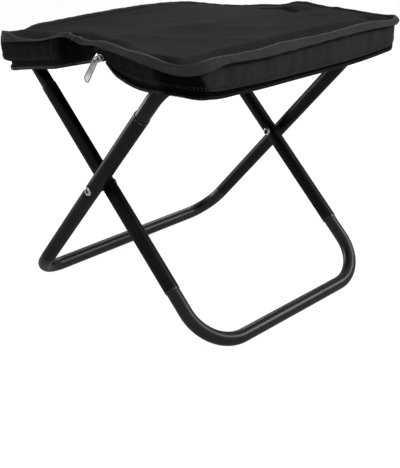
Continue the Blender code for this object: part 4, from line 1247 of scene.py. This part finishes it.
def make_spine_flaps():
    """The walls across the ends of the spine, hung between the two halves' walls; the zip goes on along their hem."""
    left_hem, left_tape = LEFT_END_HEM[0][1], LEFT_END_TAPE[0][1]
    wide = LEFT_WALL_START + FLAP_RIGHT_END
    for end, facing in (("front", -1.0), ("rear", 1.0)):
        for half, reach in ((LEFT, LEFT_WALL_START), (RIGHT, FLAP_RIGHT_END)):
            rings = []
            sinks = []
            tape_rings = []
            coil_line = []
            for step in range(25):
                x = reach * step / 24
                crest, skirt = half.crest(x, facing, 0.0), half.skirt(x, facing, 0.0)
                top = float(crest + (skirt - crest) * WALL_TUCK)
                share = (half.sign * x + LEFT_WALL_START) / wide
                hem = TOP_LEVEL + left_hem + (FLAP_RIGHT_HEM - left_hem) * share
                tape = left_tape + (FLAP_RIGHT_TAPE - left_tape) * share
                sunk = FLAP_SINK * math.sin(math.pi * share) ** 2
                sinks.append(sunk / FLAP_SINK)
                ring = []
                for level in np.linspace(0.0, 1.0, 9):
                    out = WALL_BELLY * math.sin(math.pi * level) - WALL_INSET - sunk
                    out += WALL_WRINKLE * ripple(half.sign * x, 90.0, 21.0 + facing) * math.sin(math.pi * level)
                    ring.append((half.sign * x, facing * (SEAT_HALF + out), top + (hem - top) * level))
                ring += [(px, py - facing * WALL_T, pz) for px, py, pz in reversed(ring)]
                rings.append(ring)
                near = facing * (SEAT_HALF - WALL_INSET - TAPE_INSET - sunk)
                tape_rings.append([(half.sign * x, near - facing * deep, z) for deep, z in (
                    (0.0, hem + TAPE_TUCK), (0.0, hem - tape), (TAPE_T, hem - tape), (TAPE_T, hem + TAPE_TUCK))])
                coil_line.append((half.sign * x, near, hem - tape - COIL_R * 0.6))
            obj = piece(f"spine_flap_{end}_{half.title}", loft(rings, sharp_deg=70.0), WALL_CLOTH, half.body)
            # Painted shade where the flap is sunk back between the two halves.
            set_painted_shade(obj.data, np.repeat(np.clip(np.array(sinks) * 4.0, 0.0, 1.0), 18))
            flatten_with_fold(obj)
            strip = piece(f"spine_tape_{end}_{half.title}", loft(tape_rings, sharp_deg=40.0), ZIP_TAPE, half.body)
            flatten_with_fold(strip)
            coil = make_coil(f"spine_coil_{end}_{half.title}", coil_line, [(0.0, facing, 0.0)] * len(coil_line),
                             half.body, [])
            flatten_with_fold(coil)


# The zip hardware
def zip_axes(place):
    """Axes at the slider: X across it, Y up along it, Z out of the stool's front."""
    out = Vector((0.0, -1.0, 0.0))
    up = out.cross(TAB_ACROSS)
    return Matrix.Translation(place) @ Matrix((TAB_ACROSS, up, out)).transposed().to_4x4()


def plate(work, outline, low, high, round_off):
    """Add a flat plate with rounded edges to a mesh being built; the outline is (x, y) points."""
    base = work.faces.new([work.verts.new((x, y, low)) for x, y in outline])
    grown = bmesh.ops.extrude_face_region(work, geom=[base])["geom"]
    lifted = [entry for entry in grown if isinstance(entry, bmesh.types.BMVert)]
    bmesh.ops.translate(work, vec=(0.0, 0.0, high - low), verts=lifted)
    near = {edge for vertex in lifted for edge in vertex.link_edges} | set(base.edges)
    flat = [edge for edge in near if abs(edge.verts[0].co.z - edge.verts[1].co.z) < 1e-7]
    bmesh.ops.bevel(work, geom=flat, offset=round_off, segments=2, affect="EDGES", profile=0.5)


def rounded(points, radius, steps=5):
    """An outline with each corner replaced by a short curve."""
    line = []
    for before, corner, after in zip(points[-1:] + points[:-1], points, points[1:] + points[:1]):
        corner = Vector(corner)
        enter = corner + (Vector(before) - corner).normalized() * radius
        leave = corner + (Vector(after) - corner).normalized() * radius
        for step in range(steps + 1):
            share = step / steps
            line.append(tuple(enter * (1 - share) ** 2 + corner * 2 * share * (1 - share) + leave * share ** 2))
    return line


def finish_metal(work, matrix):
    bmesh.ops.recalc_face_normals(work, faces=work.faces)
    mesh = bpy.data.meshes.new("metal")
    work.to_mesh(mesh)
    work.free()
    mesh.transform(matrix)
    shade(mesh, 35.0)
    set_rub_and_highlight(mesh, [0.75] * len(mesh.vertices))
    return mesh


def make_slider(matrix):
    """The slider: two shield plates on a wedge, guide lips at the sides and a bail over the front."""
    tall, wide, half_t = SLIDER_LENGTH / 2, SLIDER_WIDTH / 2, SLIDER_T / 2
    shield = rounded([(-0.0027, tall), (-wide, 0.0009), (-0.0019, -tall), (0.0019, -tall), (wide, 0.0009),
                      (0.0027, tall)], 0.0007)
    wedge = rounded([(0.0, tall - 0.0004), (-0.0013, 0.0020), (0.0, -0.0010), (0.0013, 0.0020)], 0.0003, 2)
    work = bmesh.new()
    plate(work, shield, half_t - 0.0014, half_t, 0.0004)
    plate(work, shield, -half_t, -half_t + 0.0014, 0.0004)
    plate(work, wedge, -half_t + 0.0010, half_t - 0.0010, 0.0002)
    for side in (-1.0, 1.0):
        lip = [(side * (wide - 0.0002), 0.0006), (side * 0.0018, -tall + 0.0003), (side * 0.0012, -tall + 0.0003),
               (side * (wide - 0.0009), 0.0006)]
        plate(work, lip, half_t - 0.0021, half_t - 0.0010, 0.0001)
        plate(work, lip, -half_t + 0.0010, -half_t + 0.0021, 0.0001)
    body = finish_metal(work, matrix)
    standoff = TAB_PIVOT.y * -1.0 + matrix.translation.y
    bail_r = standoff - half_t + BAIL_WIRE_R
    rings = []
    for step in range(21):
        turn = math.pi * step / 20
        lift = half_t - 0.0004 + (bail_r + standoff - half_t) * math.sin(turn)
        along = bail_r * 1.15 * math.cos(turn)
        centre = Vector((0.0, along, lift))
        normal = Vector((0.0, math.cos(turn), math.sin(turn)))
        rings.append([matrix @ (centre + normal * BAIL_WIRE_R * math.cos(spin)
                                + Vector((BAIL_WIRE_R * 1.5 * math.sin(spin), 0.0, 0.0)))
                      for spin in (2 * math.pi * side / 10 for side in range(10))])
    bail = loft(rings)
    set_rub_and_highlight(bail, [0.9] * len(bail.vertices))
    piece("zip_slider_body", body, BRIGHT_METAL, "seat_right", ["zip_slider"])
    piece("zip_slider_bail", bail, BRIGHT_METAL, "seat_right")


def tab_outline(inset):
    """The pull tab's outline: narrow at its top, round at its foot."""
    top, foot = TAB_T / 2 - inset, TAB_WIDTH / 2 - inset
    shoulder = TAB_TOP_WIDTH / 2 - inset
    arc = [(foot * math.cos(turn), TAB_WIDTH / 2 - TAB_LENGTH - foot * math.sin(turn))
           for turn in (math.pi * step / 24 for step in range(25))]
    neck = [(shoulder, top), (shoulder + 0.0001, top - 0.0010)]
    return [(-x, y) for x, y in reversed(neck)] + neck + arc


def make_tab(matrix):
    """The pull tab: a thin plate with a raised rim, a sunk field and a window for the bail."""
    half_t = TAB_T / 2
    steps = [(0.0010, -half_t), (0.0002, -half_t), (0.0, -half_t * 0.6), (0.0, half_t * 0.6), (0.0002, half_t),
             (TAB_RIM - 0.0002, half_t), (TAB_RIM, half_t * 0.7), (TAB_RIM + 0.0002, half_t * 0.2),
             (TAB_RIM + 0.0006, half_t * 0.15)]
    rings = [[(x, y, z) for x, y in tab_outline(inset)] for inset, z in steps]
    body = bpy.data.objects.new("tab", loft(rings, sharp_deg=30.0))
    side = TAB_TOP_WIDTH / 2 - TAB_RIM - 0.0001
    work = bmesh.new()
    plate(work, rounded([(-side, -0.0006), (-side, -TAB_WINDOW_LENGTH), (side, -TAB_WINDOW_LENGTH), (side, -0.0006)],
                        0.0005), -TAB_T, TAB_T, 0.0001)
    bmesh.ops.recalc_face_normals(work, faces=work.faces)
    window = bpy.data.meshes.new("window")
    work.to_mesh(window)
    work.free()
    cutter = bpy.data.objects.new("window", window)
    for entry in (body, cutter):
        bpy.context.scene.collection.objects.link(entry)
    cut = body.modifiers.new("window", "BOOLEAN")
    cut.operation = "DIFFERENCE"
    cut.object = cutter
    mesh = evaluated_mesh(body)
    bpy.data.objects.remove(cutter, do_unlink=True)
    # The sunk field is brightened towards the foot as a painted reflection; the rim keeps the plain plate tone.
    field = np.array([abs(vertex.co.z) < half_t * 0.4 and -vertex.co.y / TAB_LENGTH for vertex in mesh.vertices])
    mesh.transform(matrix)
    shade(mesh, 30.0)
    set_rub_and_highlight(mesh, np.clip(field * 1.6 - 0.1, 0.0, 1.0))
    piece("zip_pull_tab_plate", mesh, BRIGHT_METAL, "zip_tab", ["zip_pull_tab"])


def make_end_stop():
    """The staple that closes the zip's rear end: a bar folded over both tapes."""
    low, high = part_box("zip_end_stop")
    middle = (low + high) / 2
    size = high - low
    work = bmesh.new()
    outline = rounded([(-size.x / 2, -size.z / 2), (size.x / 2, -size.z / 2), (size.x / 2, size.z / 2),
                       (-size.x / 2, size.z / 2)], 0.0012)
    plate(work, outline, -size.y / 2, size.y / 2, 0.0006)
    for height in (-0.25, 0.25):
        groove = rounded([(-size.x / 2 * 0.96, size.z * height - 0.0007), (size.x / 2 * 0.96, size.z * height - 0.0007),
                          (size.x / 2 * 0.96, size.z * height + 0.0007), (-size.x / 2 * 0.96, size.z * height + 0.0007)],
                         0.0004)
        plate(work, groove, size.y / 2 - 0.0003, size.y / 2 + 0.0003, 0.00015)
    axes = Matrix(((-1.0, 0.0, 0.0), (0.0, 0.0, 1.0), (0.0, 1.0, 0.0))).to_4x4()
    mesh = finish_metal(work, Matrix.Translation(middle) @ axes)
    piece("zip_end_stop_staple", mesh, BRIGHT_METAL, "seat_right", ["zip_end_stop"])


def make_carry_loop():
    """The webbing loop at the rear of the spine, folded on itself and curling a little."""
    low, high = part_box("carry_loop")
    bend = (high.y - low.y) / 2
    thick = 0.0013
    path = []
    for step in range(13):
        share = step / 12
        path.append((low.y + thick / 2 + 0.0006 * math.sin(math.pi * share), high.z - (high.z - low.z - bend) * share))
    for step in range(1, 12):
        turn = math.pi * step / 12
        path.append(((low.y + high.y) / 2 - (bend - thick / 2) * math.cos(turn),
                     low.z + bend - (bend - thick / 2) * math.sin(turn)))
    for step in range(13):
        share = 1.0 - step / 12
        path.append((high.y - thick / 2 + 0.0012 * math.sin(math.pi * share) ** 2, high.z - (high.z - low.z - bend) * share))
    rings = []
    for at, (y, z) in enumerate(path):
        before, after = path[max(at - 1, 0)], path[min(at + 1, len(path) - 1)]
        run = Vector((0.0, after[0] - before[0], after[1] - before[1])).normalized()
        normal = run.cross(Vector((1.0, 0.0, 0.0)))
        ring = []
        for side in (1.0, -1.0):
            for step in range(9):
                share = (step / 8 * 2.0 - 1.0) * side
                x = (low.x + high.x) / 2 + share * (high.x - low.x) / 2
                edge = 1.0 - 0.45 * abs(share) ** 8
                place = Vector((x, y, z)) + normal * side * thick / 2 * edge
                ring.append(tuple(place))
        rings.append(ring)
    obj = piece("carry_loop_webbing", loft(rings, sharp_deg=60.0), WEBBING, "seat_right", ["carry_loop"])


def make_seat():
    make_seat_cloth()
    for half, rail in ((RIGHT, RIGHT_RAIL), (LEFT, LEFT_RAIL)):
        make_binding(half)
        make_wall(half)
        make_zip(half)
        make_stitches(half)
        make_tunnel(half, rail)
    make_spine_flaps()
    slider_place = Vector((TAB_PIVOT.x, -WALL_HALF + TAPE_T - SLIDER_T / 2, TAB_PIVOT.z))
    make_slider(zip_axes(slider_place))
    make_tab(zip_axes(TAB_PIVOT))
    make_end_stop()
    make_carry_loop()


# The studio
def soft_light(name, place, aim, size, power):
    data = bpy.data.lights.new(name, "AREA")
    data.shape = "DISK"
    data.size = size
    data.energy = power
    lamp = bpy.data.objects.new(name, data)
    lamp.location = place
    lamp.rotation_euler = (Vector(aim) - Vector(place)).to_track_quat("-Z", "Y").to_euler()
    bpy.context.scene.collection.objects.link(lamp)


def seen_directly(wires):
    """1 where the camera, a mirror reflection or clear glass looks at the backdrop."""
    path = wires.add("ShaderNodeLightPath")
    glossy = wires.math("MAXIMUM", path.outputs["Is Camera Ray"], path.outputs["Is Glossy Ray"])
    return wires.math("MAXIMUM", glossy, path.outputs["Is Transmission Ray"])


def make_floor():
    """A pale floor: white where it is seen, still darkened by the stool's shadow."""
    work = bmesh.new()
    bmesh.ops.create_grid(work, x_segments=1, y_segments=1, size=6.0)
    mesh = bpy.data.meshes.new("floor")
    work.to_mesh(mesh)
    work.free()
    floor = bpy.data.objects.new("floor", mesh)
    floor.location = (0.0, 0.0, -0.0004)
    bpy.context.scene.collection.objects.link(floor)
    material = bpy.data.materials.new("white floor")
    material.use_nodes = True
    wires = Wires(material.node_tree)
    material.node_tree.nodes.clear()
    paint = wires.add("ShaderNodeBsdfDiffuse", Color=(0.50, 0.50, 0.50, 1.0))
    glow = wires.add("ShaderNodeEmission", Color=(1.0, 1.0, 1.0, 1.0), Strength=1.32)
    share = wires.math("MULTIPLY", seen_directly(wires), 0.72)
    both = wires.add("ShaderNodeMixShader", Fac=share)
    wires.tree.links.new(paint.outputs[0], both.inputs[1])
    wires.tree.links.new(glow.outputs[0], both.inputs[2])
    out = wires.add("ShaderNodeOutputMaterial")
    wires.tree.links.new(both.outputs[0], out.inputs["Surface"])
    mesh.materials.append(material)


def make_world():
    world = bpy.data.worlds.new("white studio")
    bpy.context.scene.world = world
    world.use_nodes = True
    wires = Wires(world.node_tree)
    backdrop = world.node_tree.nodes["Background"]
    backdrop.inputs["Color"].default_value = (1.0, 1.0, 1.0, 1.0)
    wires.feed(backdrop, "Strength", wires.math("MULTIPLY_ADD", seen_directly(wires), 0.85, 0.15))


def make_camera():
    azimuth, elevation = math.radians(CAMERA_AZIMUTH), math.radians(CAMERA_ELEVATION)
    roll = math.radians(CAMERA_ROLL)
    back = Vector((math.sin(azimuth) * math.cos(elevation), -math.cos(azimuth) * math.cos(elevation),
                   math.sin(elevation)))
    level = (-back).cross(UP).normalized()
    upright = level.cross(-back)
    right = level * math.cos(roll) + upright * math.sin(roll)
    up = upright * math.cos(roll) - level * math.sin(roll)
    data = bpy.data.cameras.new("camera")
    data.lens = CAMERA_LENS_MM
    data.sensor_width = 36.0
    data.clip_start = 0.01
    camera = bpy.data.objects.new("camera", data)
    camera.matrix_world = Matrix.Translation(CAMERA_PLACE) @ Matrix((right, up, back)).transposed().to_4x4()
    bpy.context.scene.collection.objects.link(camera)
    bpy.context.scene.camera = camera


def make_studio():
    bpy.context.scene.view_settings.view_transform = "Standard"
    make_camera()
    make_world()
    make_floor()
    soft_light("key from behind", (-1.15, 1.20, 1.10), (0.0, 0.0, 0.2), 0.6, 14.0)
    soft_light("overhead", (0.15, -0.20, 1.95), (0.0, 0.0, 0.2), 0.7, 15.0)
    soft_light("side light", (1.17, 1.21, 1.05), (0.0, 0.0, 0.2), 0.5, 30.0)
    soft_light("left light", (-1.55, -0.42, 0.26), (0.0, 0.0, 0.24), 0.8, 18.0)


make_frames()
make_pivots()
make_seat()
for template in (COIL_TOOTH, STITCH):
    bpy.data.objects.remove(template, do_unlink=True)
make_studio()
